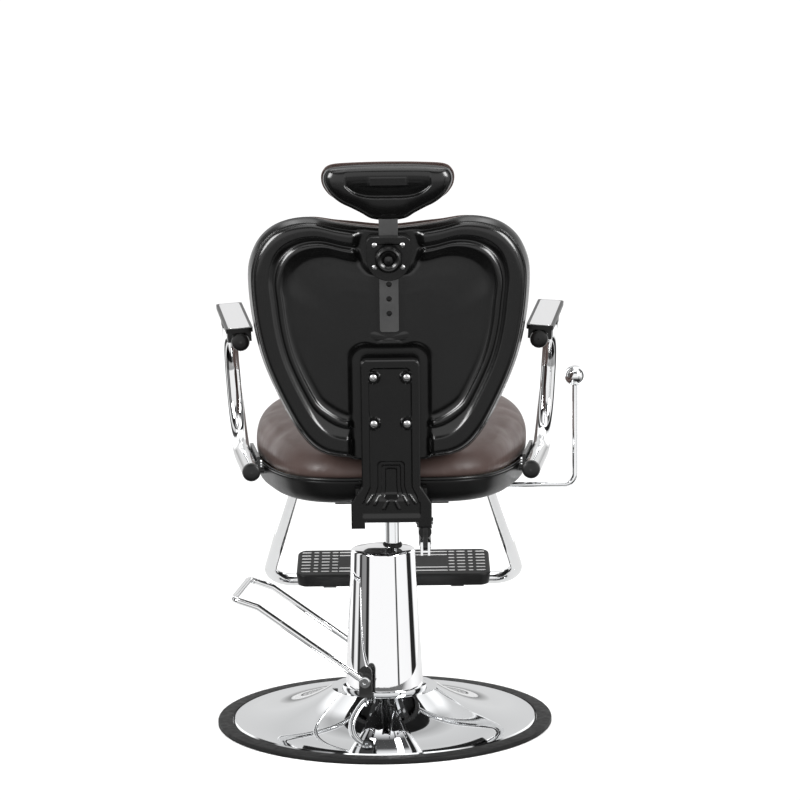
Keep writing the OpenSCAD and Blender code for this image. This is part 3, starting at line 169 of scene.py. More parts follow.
def smoothstep(a, b, x):
    t = min(max((x - a) / (b - a), 0.0), 1.0)
    return t * t * (3 - 2 * t)


def tube(name, path, radius, sides=16, place=None, closed=False):
    """Round bar along a path in mm."""
    path = [Vector(p) for p in path]
    n = len(path)
    rings = []
    up = Vector((0, 0, 1))
    normal = None
    for i in range(n):
        if closed:
            ahead = path[(i + 1) % n] - path[i - 1]
        else:
            ahead = path[min(i + 1, n - 1)] - path[max(i - 1, 0)]
        t = ahead.normalized()
        if normal is None:
            start = up if abs(t.dot(up)) < 0.9 else Vector((1, 0, 0))
            normal = (start - t * start.dot(t)).normalized()
        else:
            normal = (normal - t * normal.dot(t)).normalized()
        side = t.cross(normal)
        rings.append([path[i] + radius * (normal * c + side * s) for c, s in circle(sides)])
    if closed:
        points = [p for ring in rings for p in ring]
        faces = [
            (j * sides + i, j * sides + (i + 1) % sides,
             ((j + 1) % n) * sides + (i + 1) % sides, ((j + 1) % n) * sides + i)
            for j in range(n) for i in range(sides)
        ]
        return face_outwards(make_piece(name, points, faces, place))
    return loft(name, rings, place)


def add_modifier(piece, kind, **settings):
    modifier = piece.modifiers.new(kind.lower(), kind)
    for key, value in settings.items():
        setattr(modifier, key, value)
    return modifier


def smoothing_group(degrees):
    """Geometry nodes that shade smooth across every edge flatter than the angle."""
    group = bpy.data.node_groups.new(f"smooth_{degrees}", "GeometryNodeTree")
    group.interface.new_socket("Geometry", in_out="INPUT", socket_type="NodeSocketGeometry")
    group.interface.new_socket("Geometry", in_out="OUTPUT", socket_type="NodeSocketGeometry")
    start = group.nodes.new("NodeGroupInput")
    end = group.nodes.new("NodeGroupOutput")
    merge = group.nodes.new("GeometryNodeMergeByDistance")
    merge.inputs["Distance"].default_value = 1e-6
    faces = group.nodes.new("GeometryNodeSetShadeSmooth")
    faces.domain = "FACE"
    edges = group.nodes.new("GeometryNodeSetShadeSmooth")
    edges.domain = "EDGE"
    edges.inputs["Shade Smooth"].default_value = False
    angle = group.nodes.new("GeometryNodeInputMeshEdgeAngle")
    compare = group.nodes.new("FunctionNodeCompare")
    compare.operation = "GREATER_THAN"
    compare.inputs["B"].default_value = math.radians(degrees)
    link = group.links.new
    link(start.outputs[0], merge.inputs["Geometry"])
    link(merge.outputs[0], faces.inputs["Geometry"])
    link(faces.outputs[0], edges.inputs["Geometry"])
    link(angle.outputs["Unsigned Angle"], compare.inputs["A"])
    link(compare.outputs[0], edges.inputs["Selection"])
    link(edges.outputs[0], end.inputs[0])
    return group


SMOOTH = smoothing_group(28)


def smooth_by_angle(piece):
    modifier = piece.modifiers.new("smooth", "NODES")
    modifier.node_group = SMOOTH


# ---------- materials ----------

def fill_ramp(node, stops):
    """Give a colour ramp its stops: pairs of a place from 0 to 1 and a grey or a colour."""
    elements = node.color_ramp.elements
    while len(elements) < len(stops):
        elements.new(0.5)
    for element, (place, color) in zip(elements, stops):
        element.position = place
        element.color = (*color, 1) if isinstance(color, tuple) else (color, color, color, 1)


def to_unit(stops, low, high):
    """Stops with their places scaled from low..high to 0..1."""
    return [((at - low) / (high - low), level) for at, level in stops]


class Surface:
    """A Principled material with helpers for its procedural detail."""

    def __init__(self, name, color, rough, metal=0.0, **sockets):
        self.material = bpy.data.materials.new(name)
        self.material.use_nodes = True
        self.tree = self.material.node_tree
        self.shader = self.tree.nodes["Principled BSDF"]
        self.put("Base Color", (*color, 1))
        self.put("Roughness", rough)
        self.put("Metallic", metal)
        for key, value in sockets.items():
            self.put(key.replace("_", " "), value)
        self.where = self.tree.nodes.new("ShaderNodeTexCoord").outputs["Object"]
        self.bumps = None

    def put(self, socket, value):
        self.shader.inputs[socket].default_value = value

    def mapped(self, scale):
        mapping = self.tree.nodes.new("ShaderNodeMapping")
        mapping.inputs["Scale"].default_value = scale if isinstance(scale, tuple) else (scale,) * 3
        self.tree.links.new(self.where, mapping.inputs["Vector"])
        return mapping.outputs[0]

    def noise(self, scale, detail):
        node = self.tree.nodes.new("ShaderNodeTexNoise")
        node.inputs["Scale"].default_value = 1.0
        node.inputs["Detail"].default_value = detail
        node.inputs["Roughness"].default_value = 0.5
        self.tree.links.new(self.mapped(scale), node.inputs["Vector"])
        return node.outputs["Fac"]

    def cells(self, scale):
        node = self.tree.nodes.new("ShaderNodeTexVoronoi")
        node.inputs["Scale"].default_value = 1.0
        self.tree.links.new(self.mapped(scale), node.inputs["Vector"])
        return node.outputs["Distance"]

    def colour(self, value, stops):
        node = self.tree.nodes.new("ShaderNodeValToRGB")
        fill_ramp(node, stops)
        self.tree.links.new(value, node.inputs["Fac"])
        self.tree.links.new(node.outputs["Color"], self.shader.inputs["Base Color"])

    def mottle(self, level, scale, detail, dark, light):
        """Grey that wanders between two shares of its level."""
        self.colour(self.noise(scale, detail), [(0.3, level * dark), (0.7, level * light)])

    def roughness(self, value, low, high):
        node = self.tree.nodes.new("ShaderNodeMapRange")
        node.inputs["From Min"].default_value = 0.3
        node.inputs["From Max"].default_value = 0.7
        node.inputs["To Min"].default_value = low
        node.inputs["To Max"].default_value = high
        self.tree.links.new(value, node.inputs["Value"])
        self.tree.links.new(node.outputs[0], self.shader.inputs["Roughness"])

    def bump(self, value, height, strength):
        node = self.tree.nodes.new("ShaderNodeBump")
        node.inputs["Strength"].default_value = strength
        node.inputs["Distance"].default_value = height
        self.tree.links.new(value, node.inputs["Height"])
        if self.bumps is not None:
            self.tree.links.new(self.bumps, node.inputs["Normal"])
        self.bumps = node.outputs["Normal"]
        self.tree.links.new(self.bumps, self.shader.inputs["Normal"])


def chrome(name, tint=(0.90, 0.91, 0.92), low=0.015, high=0.05):
    s = Surface(name, tint, low, 1.0)
    s.roughness(s.noise(9.0, 3.0), low, high)
    s.bump(s.noise((40, 40, 12), 1.0), 0.00004, 0.12)
    return s.material


def black_plastic(name, level, rough, grain, **sockets):
    s = Surface(name, (level,) * 3, rough, 0.0, **sockets)
    s.mottle(level, 22.0, 3.0, 0.85, 1.2)
    s.roughness(s.noise(160.0, 3.0), rough - 0.02, rough + 0.03)
    s.bump(s.noise(1600.0, 2.0), 0.00004, grain)
    s.bump(s.noise(9.0, 1.0), 0.0006, 0.05)
    return s.material


def steel(name, level, low, high, stretch=(30, 900, 900)):
    s = Surface(name, (level,) * 3, low, 1.0)
    s.mottle(level, 25.0, 3.0, 0.88, 1.08)
    s.roughness(s.noise(stretch, 2.0), low, high)
    s.bump(s.noise(stretch, 2.0), 0.00002, 0.35)
    return s.material


def rubber(name, level):
    s = Surface(name, (level,) * 3, 0.55, 0.0, Specular_IOR_Level=0.18)
    s.mottle(level, 30.0, 4.0, 0.8, 1.3)
    s.roughness(s.noise(80.0, 4.0), 0.45, 0.62)
    s.bump(s.noise(1100.0, 3.0), 0.00010, 0.35)
    s.bump(s.noise(22.0, 2.0), 0.0008, 0.10)
    return s.material


def leather(name):
    base = (0.050, 0.032, 0.028)
    s = Surface(name, base, 0.38, 0.0, Specular_IOR_Level=0.28)
    s.put("Sheen Weight", 0.10)
    s.put("Sheen Roughness", 0.45)
    s.put("Sheen Tint", (0.80, 0.72, 0.68, 1))
    dark, light = (tuple(share * c for c in base) for share in (0.86, 1.14))
    s.colour(s.noise(9.0, 4.0), [(0.30, dark), (0.70, light)])
    s.roughness(s.noise(45.0, 4.0), 0.34, 0.46)
    s.bump(s.cells(620.0), 0.00022, 0.30)
    s.bump(s.noise(1500.0, 3.0), 0.00008, 0.30)
    s.bump(s.noise(22.0, 2.0), 0.0006, 0.10)
    return s.material


def painted(name, level, rough=0.30):
    s = Surface(name, (level,) * 3, rough, 0.0)
    s.put("Coat Weight", 0.25)
    s.put("Coat Roughness", 0.18)
    s.mottle(level, 20.0, 3.0, 0.85, 1.2)
    s.roughness(s.noise(50.0, 3.0), rough - 0.05, rough + 0.08)
    s.bump(s.noise(520.0, 2.0), 0.00008, 0.30)
    return s.material


def plywood(name):
    s = Surface(name, (0.60, 0.46, 0.29), 0.7)
    s.colour(s.noise((60, 60, 700), 3.0), [
        (0.25, (0.42, 0.29, 0.16)), (0.5, (0.62, 0.47, 0.30)), (0.8, (0.70, 0.56, 0.38)),
    ])
    s.roughness(s.noise(90.0, 3.0), 0.6, 0.8)
    s.bump(s.noise((20, 400, 400), 3.0), 0.0002, 0.4)
    return s.material


MATERIALS = {
    "base_rubber": rubber("base_rubber", 0.006),
    "seal_rubber": rubber("seal_rubber", 0.010),
    "base_chrome": chrome("base_chrome", (0.74, 0.75, 0.76), low=0.012, high=0.035),
    "pump_chrome": chrome("pump_chrome", (0.97, 0.97, 0.98), low=0.012, high=0.035),
    "tube_chrome": chrome("tube_chrome", (0.86, 0.865, 0.87)),
    "rod_chrome": chrome("rod_chrome", low=0.03, high=0.07),
    "plate_chrome": chrome("plate_chrome", (0.97, 0.97, 0.98), low=0.05, high=0.12),
    "small_chrome": chrome("small_chrome", low=0.05, high=0.10),
    "ball_chrome": chrome("ball_chrome", low=0.02, high=0.05),
    "zinc_steel": steel("zinc_steel", 0.62, 0.22, 0.36),
    "plain_steel": steel("plain_steel", 0.50, 0.20, 0.34),
    "spring_steel": steel("spring_steel", 0.45, 0.22, 0.36),
    "bar_steel": steel("bar_steel", 0.13, 0.36, 0.50, (900, 900, 18)),
    "housing_iron": steel("housing_iron", 0.18, 0.45, 0.60, (300, 300, 300)),
    "black_paint": painted("black_paint", 0.003),
    "tray_plastic": black_plastic("tray_plastic", 0.002, 0.34, 0.20, Specular_IOR_Level=0.22),
    "shell_plastic": black_plastic("shell_plastic", 0.002, 0.20, 0.10, Specular_IOR_Level=0.58),
    "cover_plastic": black_plastic("cover_plastic", 0.0015, 0.20, 0.12, Specular_IOR_Level=0.50),
    "clamp_plastic": black_plastic("clamp_plastic", 0.0015, 0.20, 0.10, Specular_IOR_Level=0.50),
    "knob_plastic": black_plastic("knob_plastic", 0.0015, 0.22, 0.12, Specular_IOR_Level=0.50),
    "cap_plastic": black_plastic("cap_plastic", 0.003, 0.30, 0.20, Specular_IOR_Level=0.40),
    "armrest_plastic": black_plastic("armrest_plastic", 0.003, 0.32, 0.20, Specular_IOR_Level=0.28),
    "footrest_plastic": black_plastic("footrest_plastic", 0.006, 0.42, 0.25, Specular_IOR_Level=0.18),
    # Light grey copy of the footrest plastic for the tops of its ribs: a painted highlight along each rib
    "footrest_ridge_highlight": black_plastic("footrest_ridge_highlight", 0.42, 0.28, 0.15, Specular_IOR_Level=0.50),
    "plywood": plywood("plywood"),
    "brown_leather": leather("brown_leather"),
}


def dress(piece, slot, body=None):
    """The material of a slot, and the body that a new piece rides on."""
    piece.data.materials.clear()
    piece.data.materials.append(MATERIALS[slot])
    if body:
        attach(piece, body)
    return piece


def dress_nodes():
    slots = {s["node"]: s["material_slot"] for s in frame["record"]["subparts"]}
    for name, piece in nodes.items():
        if piece.material_slots:
            for holder in piece.material_slots:
                holder.material = MATERIALS[slots[name]]
        else:
            piece.data.materials.append(MATERIALS[slots[name]])


# ---------- upholstery ----------

CLOTH_FRAMES = 20
CLOTH_PRESSURE = 4.0


def inflate(piece, voxel, cap):
    """Cloth under pressure: the piece swells, no point by more than cap metres."""
    bpy.context.view_layer.objects.active = piece
    add_modifier(piece, "REMESH", mode="VOXEL", voxel_size=voxel)
    apply_modifiers(piece)
    rest = [v.co.copy() for v in piece.data.vertices]
    cloth = piece.modifiers.new("cloth", "CLOTH")
    settings = cloth.settings
    settings.use_pressure = True
    settings.uniform_pressure_force = CLOTH_PRESSURE
    settings.effector_weights.gravity = 0
    settings.quality = 5
    settings.tension_stiffness = 30
    settings.compression_stiffness = 30
    settings.shear_stiffness = 15
    settings.bending_stiffness = 2
    cloth.point_cache.frame_start = 1
    cloth.point_cache.frame_end = CLOTH_FRAMES
    scene = bpy.context.scene
    for step in range(1, CLOTH_FRAMES + 1):
        scene.frame_set(step)
    shaped = piece.evaluated_get(bpy.context.evaluated_depsgraph_get())
    moved = [v.co.copy() for v in shaped.data.vertices]
    piece.modifiers.remove(cloth)
    for vertex, a, b in zip(piece.data.vertices, rest, moved):
        shift = b - a
        if shift.length > cap:
            shift *= cap / shift.length
        vertex.co = a + shift
    scene.frame_set(1)
    piece.data.update()


def apply_modifiers(piece):
    shaped = piece.evaluated_get(bpy.context.evaluated_depsgraph_get())
    mesh = bpy.data.meshes.new_from_object(shaped)
    old = piece.data
    piece.modifiers.clear()
    piece.data = mesh
    mesh.name = piece.name
    bpy.data.meshes.remove(old)
    for polygon in mesh.polygons:
        polygon.use_smooth = True


def round_off(piece, smooth_steps):
    add_modifier(piece, "SMOOTH", factor=0.5, iterations=smooth_steps)
    add_modifier(piece, "SUBSURF", levels=1, render_levels=1)
    apply_modifiers(piece)


def keep_above(piece, low):
    for vertex in piece.data.vertices:
        vertex.co.z = max(vertex.co.z, low)


# Right half of the seat's outline, in shares of its width and depth
SEAT_HALF = [
    (0, -0.492), (0.22, -0.488), (0.335, -0.424), (0.408, -0.300), (0.452, -0.160), (0.490, 0),
    (0.5, 0.12), (0.488, 0.26), (0.445, 0.38), (0.355, 0.464), (0.20, 0.498), (0, 0.5),
]
SEAT_WIDTH, SEAT_DEPTH = 508, 500
SEAT_OUTLINE = spline(both_sides([(x * SEAT_WIDTH, y * SEAT_DEPTH) for x, y in SEAT_HALF]), 8)
TRAY_FLOOR, TRAY_TOP = 455.0, 498.0


def seat_ring(d, z, slope=0.0):
    """The seat's outline drawn in by d; slope is its rise in mm from the rear to the front."""
    outline = drawn_in(SEAT_OUTLINE, (0, 0), (SEAT_WIDTH / 2, SEAT_DEPTH / 2), d)
    return [(x, y, z + slope * y / SEAT_DEPTH) for x, y in outline]


def seat_cushion():
    h = 86
    base = TRAY_TOP + 0.3
    slope = 65
    profile = [
        (4, base, 0), (-1, base + 3, 0), (-4, base + 0.14 * h, 0.2 * slope),
        (-4, base + 0.30 * h, 0.5 * slope), (-3, base + 0.50 * h, 0.8 * slope),
        (3, base + 0.68 * h, slope), (16, base + 0.82 * h, slope),
        (42, base + 0.91 * h, slope), (88, base + 0.955 * h, slope), (150, base + 0.97 * h, slope),
        (205, base + 0.975 * h, slope),
    ]
    rings = [seat_ring(*p) for p in spline(profile, 4, closed=False)]
    piece = loft("seat_cushion_cover", rings, SEAT)
    inflate(piece, 0.005, 0.005)
    keep_above(piece, base * MM)
    round_off(piece, 26)
    keep_above(piece, base * MM)
    dress(piece, "brown_leather", "seat")
    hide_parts("seat_cushion")
    welt = tube("seat_welt", seat_ring(2.2, TRAY_TOP + 2.6)[::2], 3.2, 12, SEAT, closed=True)
    dress(welt, "cap_plastic", "seat")


def seat_tray():
    profile = [
        (34, 0), (27, 0.2), (21, 1.2), (16, 3), (11, 6.2), (7.4, 10.5), (4.8, 16), (3, 23), (1.2, 33),
        (0.2, 39), (0, 41.4), (0.6, 42.6), (1.8, 43), (3, 42.7), (3.6, 40), (6, 26), (12, 14), (27, 5), (39, 3),
    ]
    piece = loft("seat_tray_shell", [seat_ring(d, TRAY_FLOOR + h) for d, h in profile], SEAT)
    dress(piece, "tray_plastic", "seat")
    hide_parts("seat_tray")


# Right half of the back's outline
BACK_HALF = [
    (0, 515), (48, 519), (92, 526), (140, 536), (188, 527), (221, 503), (240, 466), (245, 425), (239, 354),
    (223, 281), (193, 206), (158, 141), (122, 108), (70, 98), (0, 97),
]
BACK_OUTLINE = spline(both_sides(BACK_HALF), 12)
BACK_MIDDLE = (0, 320)
BACK_HALF_WIDTH, BACK_HALF_HEIGHT = 245, 220
SHELL_FRONT = 20.1
SHELL_INSET = 13        # from the outline to the zero of the shell's own insets


def back_ring(d, y, end=1.0):
    """The back's outline drawn in by d at its sides and by end times d at its top and foot."""
    half_size = (BACK_HALF_WIDTH, BACK_HALF_HEIGHT / end)
    return [(x, y, z) for x, z in drawn_in(BACK_OUTLINE, BACK_MIDDLE, half_size, d)]


def padded_ring(d, y, end=1.0):
    """A ring of the cushion, whose padding fills the dip in the top of the shell."""
    past_shell = smoothstep(2, 14, y - SHELL_FRONT)
    return [
        (x, y, z + smoothstep(440, 500, z) * past_shell * (1 + 6 * (1 - smoothstep(50, 150, abs(x)))))
        for x, y, z in back_ring(d, y, end)
    ]


def back_cushion():
    y = SHELL_FRONT + 0.3
    t = 72
    profile = [
        (9, y, 1), (4, y + 2, 1), (2.5, y + 0.10 * t, 1), (2.5, y + 0.22 * t, 1.1), (5, y + 0.42 * t, 1.5),
        (8, y + 0.62 * t, 1.8), (17, y + 0.79 * t, 1.7), (33, y + 0.91 * t, 1.5), (60, y + 0.965 * t, 1.3),
        (105, y + 0.95 * t, 1.1), (150, y + 0.93 * t, 1.0), (200, y + 0.92 * t, 1.0),
    ]
    rings = [padded_ring(*p) for p in spline(profile, 4, closed=False)]
    piece = loft("back_cushion_cover", rings, BACK)
    inflate(piece, 0.005, 0.006)
    hold_front(piece, y, 10)
    dress(piece, "brown_leather", "back")
    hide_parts("back_cushion")
    for name, d, depth, end, r in (
        ("back_welt_rear", 2.6, y + 1.6, 1.0, 1.6), ("back_welt_front", 7.5, y + 0.56 * t, 1.75, 2.2),
    ):
        welt = tube(name, padded_ring(d, depth, end)[::2], r, 10, BACK, closed=True)
        dress(welt, "brown_leather", "back")


def hold_front(piece, y, smooth_steps):
    """Smooth a cushion of the back and keep its rear face on the plane at y."""
    round_off(piece, smooth_steps)
    away = BACK.inverted()
    for vertex in piece.data.vertices:
        local = away @ vertex.co
        if local.y < y * MM:
            local.y = y * MM
            vertex.co = BACK @ local


# ---------- back shell ----------

# Section of the shell, from its front edge to the middle of its panel: the inset and the depth at the
# sides, then the depth at the top where it differs
SHELL_PROFILE = [
    (-12.4, SHELL_FRONT), (-12.2, 18), (-9.6, 11), (-6.4, 3.2), (-5.6, 1.4), (-5.1, 1.2), (-4.7, 1.6),
    (-4.2, 1.2), (-3.6, -0.2), (-1.8, -2.8), (0.4, -4.7), (2.6, -6.0), (4.6, -6.6), (7, -6.8), (14, -6.8),
    (20, -6.8), (25.6, -6.8), (27, -6.6), (28, -5.6), (31, -2.8), (35, -0.4), (37.6, 0.2), (38.4, -1.2, -0.5),
    (39.0, -3.8, -1.1), (40.0, -5.2, -2.2), (41.6, -5.8, -4.0), (43.4, -5.8, -5.4), (46.0, -5.8, -5.9),
    (47.6, -5.2, -5.7), (49.0, -3.4, -5.1), (51.0, -1.2, -4.3), (54, 0.2, -3.1), (58, 0.6, -1.5),
    (60, 0.3, -0.7), (62, -0.2, 0.1), (64, -0.5, 0.7), (66.5, -0.7, 1.0), (70, -0.7, 1.0), (85, -0.7, 0.6),
    (100, -0.7, 0.1), (125, -0.7, -0.5), (150, -0.7), (180, -0.7), (205, -0.7),
]
DEEPEST_INSET = 216


def shell_rings():
    """Rings over the moulded rear shell, with its inner band nearer to the edge at the top."""
    profile = [(p[0], p[1], p[-1]) for p in SHELL_PROFILE]
    dense = []
    for a, b in zip(profile, profile[1:]):
        steps = max(1, round((b[0] - a[0]) / 3))
        dense += [tuple(u + (v - u) * k / steps for u, v in zip(a, b)) for k in range(steps)]
    dense.append(profile[-1])
    half_size = (BACK_HALF_WIDTH, BACK_HALF_HEIGHT)
    rings = []
    for d, at_side, at_top in dense:
        ring = []
        for x, z in BACK_OUTLINE:
            high = smoothstep(430, 500, z)
            low = 1 - smoothstep(105, 170, z)
            upper = smoothstep(395, 525, z) * (8 + 2.5 * smoothstep(110, 180, abs(x)))
            inset = SHELL_INSET + d + 9 * low * smoothstep(28, 37, d) - upper * smoothstep(7, 27, d)
            px, pz = point_in((x, z), BACK_MIDDLE, half_size, min(inset, DEEPEST_INSET))
            ring.append((px, at_side + (at_top - at_side) * high, pz))
        rings.append(ring)
    return rings


def recess_depth(x, z):
    """0 on the plain panel, 1 on the floor of the recess around the clamp, the bar and the upright cover."""
    half_width, top, corner = 66, 306, 24
    cover = 1 - smoothstep(-3, 12, rounded_box(x, z, half_width, 0, top, corner))
    clamp_z, floor_radius, edge_radius = 486, 49, 64
    clamp = 1 - smoothstep(floor_radius, edge_radius, math.hypot(x, z - clamp_z))
    valley = 0.5 * (1 - smoothstep(19, 42, abs(x))) * smoothstep(280, 300, z)
    return max(cover, clamp, valley)


def back_shell():
    recess_floor, rim_depth, wing_drop = 4.4, 14, 3.6
    rings = []
    for ring in shell_rings():
        out = []
        for x, y, z in ring:
            if y < rim_depth:
                wing = (1 - smoothstep(44, 70, abs(x))) * smoothstep(466, 478, z)
                wing *= 1 - smoothstep(0.5, 3, y)
                y += wing_drop * wing
                y += (recess_floor - y) * recess_depth(x, z)
            out.append((x, y, z))
        rings.append(out)
    inner = [
        back_ring(SHELL_INSET + d, y) for d, y in ((-9.4, SHELL_FRONT), (-9.2, 18), (-3, 11), (9, 9.5))
    ]
    piece = loft("back_shell_moulding", inner[::-1] + rings, BACK)
    dress(piece, "shell_plastic", "back")
    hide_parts("back_shell")


# ---------- heightfields ----------

def slab(name, columns, rows, outer, inner, place=None, keep=None):
    """Closed slab: outer(i, j) and inner(i, j) give the points of its two faces on one grid."""
    nx, ny = len(columns), len(rows)
    index, points, faces = {}, [], []
    for side, surface in ((0, outer), (1, inner)):
        for j in range(ny):
            for i in range(nx):
                index[side, i, j] = len(points)
                points.append(surface(columns[i], rows[j]))
    cells = {
        (i, j) for i in range(nx - 1) for j in range(ny - 1)
        if keep is None or keep((columns[i] + columns[i + 1]) / 2, (rows[j] + rows[j + 1]) / 2)
    }
    for i, j in sorted(cells):
        corners = [(i, j), (i + 1, j), (i + 1, j + 1), (i, j + 1)]
        faces.append([index[(0, *c)] for c in corners])
        faces.append([index[(1, *c)] for c in corners[::-1]])
        for (di, dj), a, b in zip(((0, -1), (1, 0), (0, 1), (-1, 0)), corners, corners[1:] + corners[:1]):
            if (i + di, j + dj) not in cells:
                faces.append([index[(0, *b)], index[(0, *a)], index[(1, *a)], index[(1, *b)]])
    work = bmesh.new()
    verts = [work.verts.new(Vector(p) * MM) for p in points]
    for face in faces:
        work.faces.new([verts[k] for k in face])
    loose = [v for v in work.verts if not v.link_faces]
    bmesh.ops.delete(work, geom=loose, context="VERTS")
    if place is not None:
        bmesh.ops.transform(work, matrix=place, verts=work.verts)
    bmesh.ops.recalc_face_normals(work, faces=work.faces)
    mesh = bpy.data.meshes.new(name)
    work.to_mesh(mesh)
    work.free()
    for polygon in mesh.polygons:
        polygon.use_smooth = True
    piece = add_object(name, mesh)
    smooth_by_angle(piece)
    return piece


def spread(low, high, step):
    count = max(1, round((high - low) / step))
    return [low + (high - low) * k / count for k in range(count + 1)]


def rounded_box(x, z, half_x, low, high, radius):
    """Signed distance to a rounded rectangle, negative inside."""
    qx = abs(x) - half_x + radius
    qz = abs(z - (low + high) / 2) - (high - low) / 2 + radius
    return math.hypot(max(qx, 0), max(qz, 0)) + min(max(qx, qz), 0) - radius


COVER_HALF, COVER_TOP, COVER_FOOT = 51.5, 290, -20
COVER_CORNER = 12
FLARE_HALF, FLARE_TOP, FLARE_HEIGHT = 71, 58, 31
COVER_REAR, COVER_FRONT = -24, -10.1
# Places of the screws, across and up the back
COVER_SCREWS = [(x, z) for x in (-29, 29) for z in (174, 258)]
CLAMP_SCREWS = [(x, z) for x in (-24, 24) for z in (455, 494)]


def cover_half_width(z):
    arc_foot = COVER_TOP - COVER_CORNER
    if z > arc_foot:
        return COVER_HALF - COVER_CORNER + math.sqrt(max(0.0, COVER_CORNER ** 2 - (z - arc_foot) ** 2))
    if z > FLARE_TOP:
        return COVER_HALF
    return COVER_HALF + (FLARE_HALF - COVER_HALF) * min(1, (FLARE_TOP - z) / FLARE_HEIGHT)


def cover_depth(u, z):
    """How far the cover's rear face lies below its rim; u is measured as on its straight part."""
    panel = 1 - smoothstep(-2.6, 0, rounded_box(u, z, 38, -60, 276, 13))
    boss = 0.0
    for x, height in COVER_SCREWS:
        away = math.hypot(u - x, z - height)
        boss = max(boss, 1 - smoothstep(11.0, 12.2, away))
        if 8.2 < away < 10.2:
            boss = min(boss, 0.35)
    arches = 0.0
    for half_x, high, radius, step in ((24.4, 105, 9, 2.6), (17.6, 98, 6, 1.5), (10.6, 91, 4, 1.8)):
        arches += step * (1 - smoothstep(-1.8, 0, rounded_box(u, z, half_x, -60, high, radius)))
    fade = smoothstep(30, 46, z)
    ribs = 0.0
    for low_u, low_z, high_u, high_z in ((31, 27, 27, 42), (21, 25, 17, 40), (9.5, 17, 4.5, 31)):
        across, up = high_u - low_u, high_z - low_z
        along = ((abs(u) - low_u) * across + (z - low_z) * up) / (across ** 2 + up ** 2)
        along = min(1, max(0, along))
        away = math.hypot(abs(u) - low_u - along * across, z - low_z - along * up)
        ribs = max(ribs, 1 - smoothstep(0.8, 2.2, away))
    upper = 3.4 * panel * (1 - boss) + arches
    lower = 2.0 * panel * smoothstep(2, 6, z)
    return fade * upper + (1 - fade) * lower - 1.4 * ribs


def upright_cover():
    notch = 47 / FLARE_HALF * COVER_HALF     # half width of the opening between the cover's two feet
    notch_top = -8
    rim = 50.6
    lines = [
        k for k in (round(k, 4) for k in spread(-COVER_HALF, COVER_HALF, 0.85))
        if min(abs(abs(k) - notch), abs(abs(k) - rim)) > 0.25
    ]
    lines = sorted(lines + [-notch, notch, -rim, rim])
    rows = sorted(set(
        spread(COVER_FOOT, notch_top, 2) + spread(notch_top, 10, 3) + spread(10, 110, 1.2)
        + spread(110, 160, 5) + spread(160, 190, 1.2) + spread(190, 244, 5) + spread(244, COVER_TOP, 1.0)
    ))

    def outer(u, z):
        half = cover_half_width(z)
        from_edge = min((COVER_HALF - abs(u)) * half / COVER_HALF, COVER_TOP - z, z - COVER_FOOT)
        rounding = 1.8 * (1 - smoothstep(0, 2.4, from_edge))
        return (u / COVER_HALF * half, COVER_REAR + rounding + cover_depth(u, z), z)

    def inner(u, z):
        return (u / COVER_HALF * cover_half_width(z), COVER_FRONT, z)

    piece = slab(
        "upright_cover_moulding", lines, rows, outer, inner, BACK,
        lambda u, z: z > notch_top or abs(u) > notch,
    )
    dress(piece, "cover_plastic", "back")
    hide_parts("upright_cover")


# ---------- screws ----------

# Section of a domed head with a round socket, in shares of the head's radius and height
SCREW_HEAD = [
    (0.26, 0.25), (0.30, 0.62), (0.34, 0.97), (0.50, 0.93), (0.72, 0.78), (0.88, 0.55), (0.97, 0.25), (1, 0),
]
SHANK_FRONT = 14.0


def screw(x, face, z, head_r, height, shank_r):
    """Rings of a screw, turned about an axis along y."""
    rings = [(head_r * r, face - height * h) for r, h in SCREW_HEAD]
    rings += [(shank_r, face + 0.05), (shank_r, SHANK_FRONT)]
    return [[(x + r * c, y, z + r * s) for c, s in circle(32)] for r, y in rings]


def screws(name, node, places, face, head_r, height, shank_r):
    parts = [
        loft(f"{name}_{k}", screw(x, face, z, head_r, height, shank_r), BACK)
        for k, (x, z) in enumerate(places)
    ]
    work = bmesh.new()
    for part in parts:
        work.from_mesh(part.data)
        bpy.data.objects.remove(part)
    mesh = bpy.data.meshes.new(name)
    work.to_mesh(mesh)
    work.free()
    piece = add_object(name, mesh)
    smooth_by_angle(piece)
    dress(piece, "zinc_steel", "back")
    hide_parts(node)


def all_screws():
    screws("cover_screw_heads", "cover_screws", COVER_SCREWS, -24.2, 6.5, 3.2, 3)
    screws("clamp_screw_heads", "clamp_screws", CLAMP_SCREWS, -24.0, 4.5, 2.3, 2.5)


# ---------- footrest pad ----------

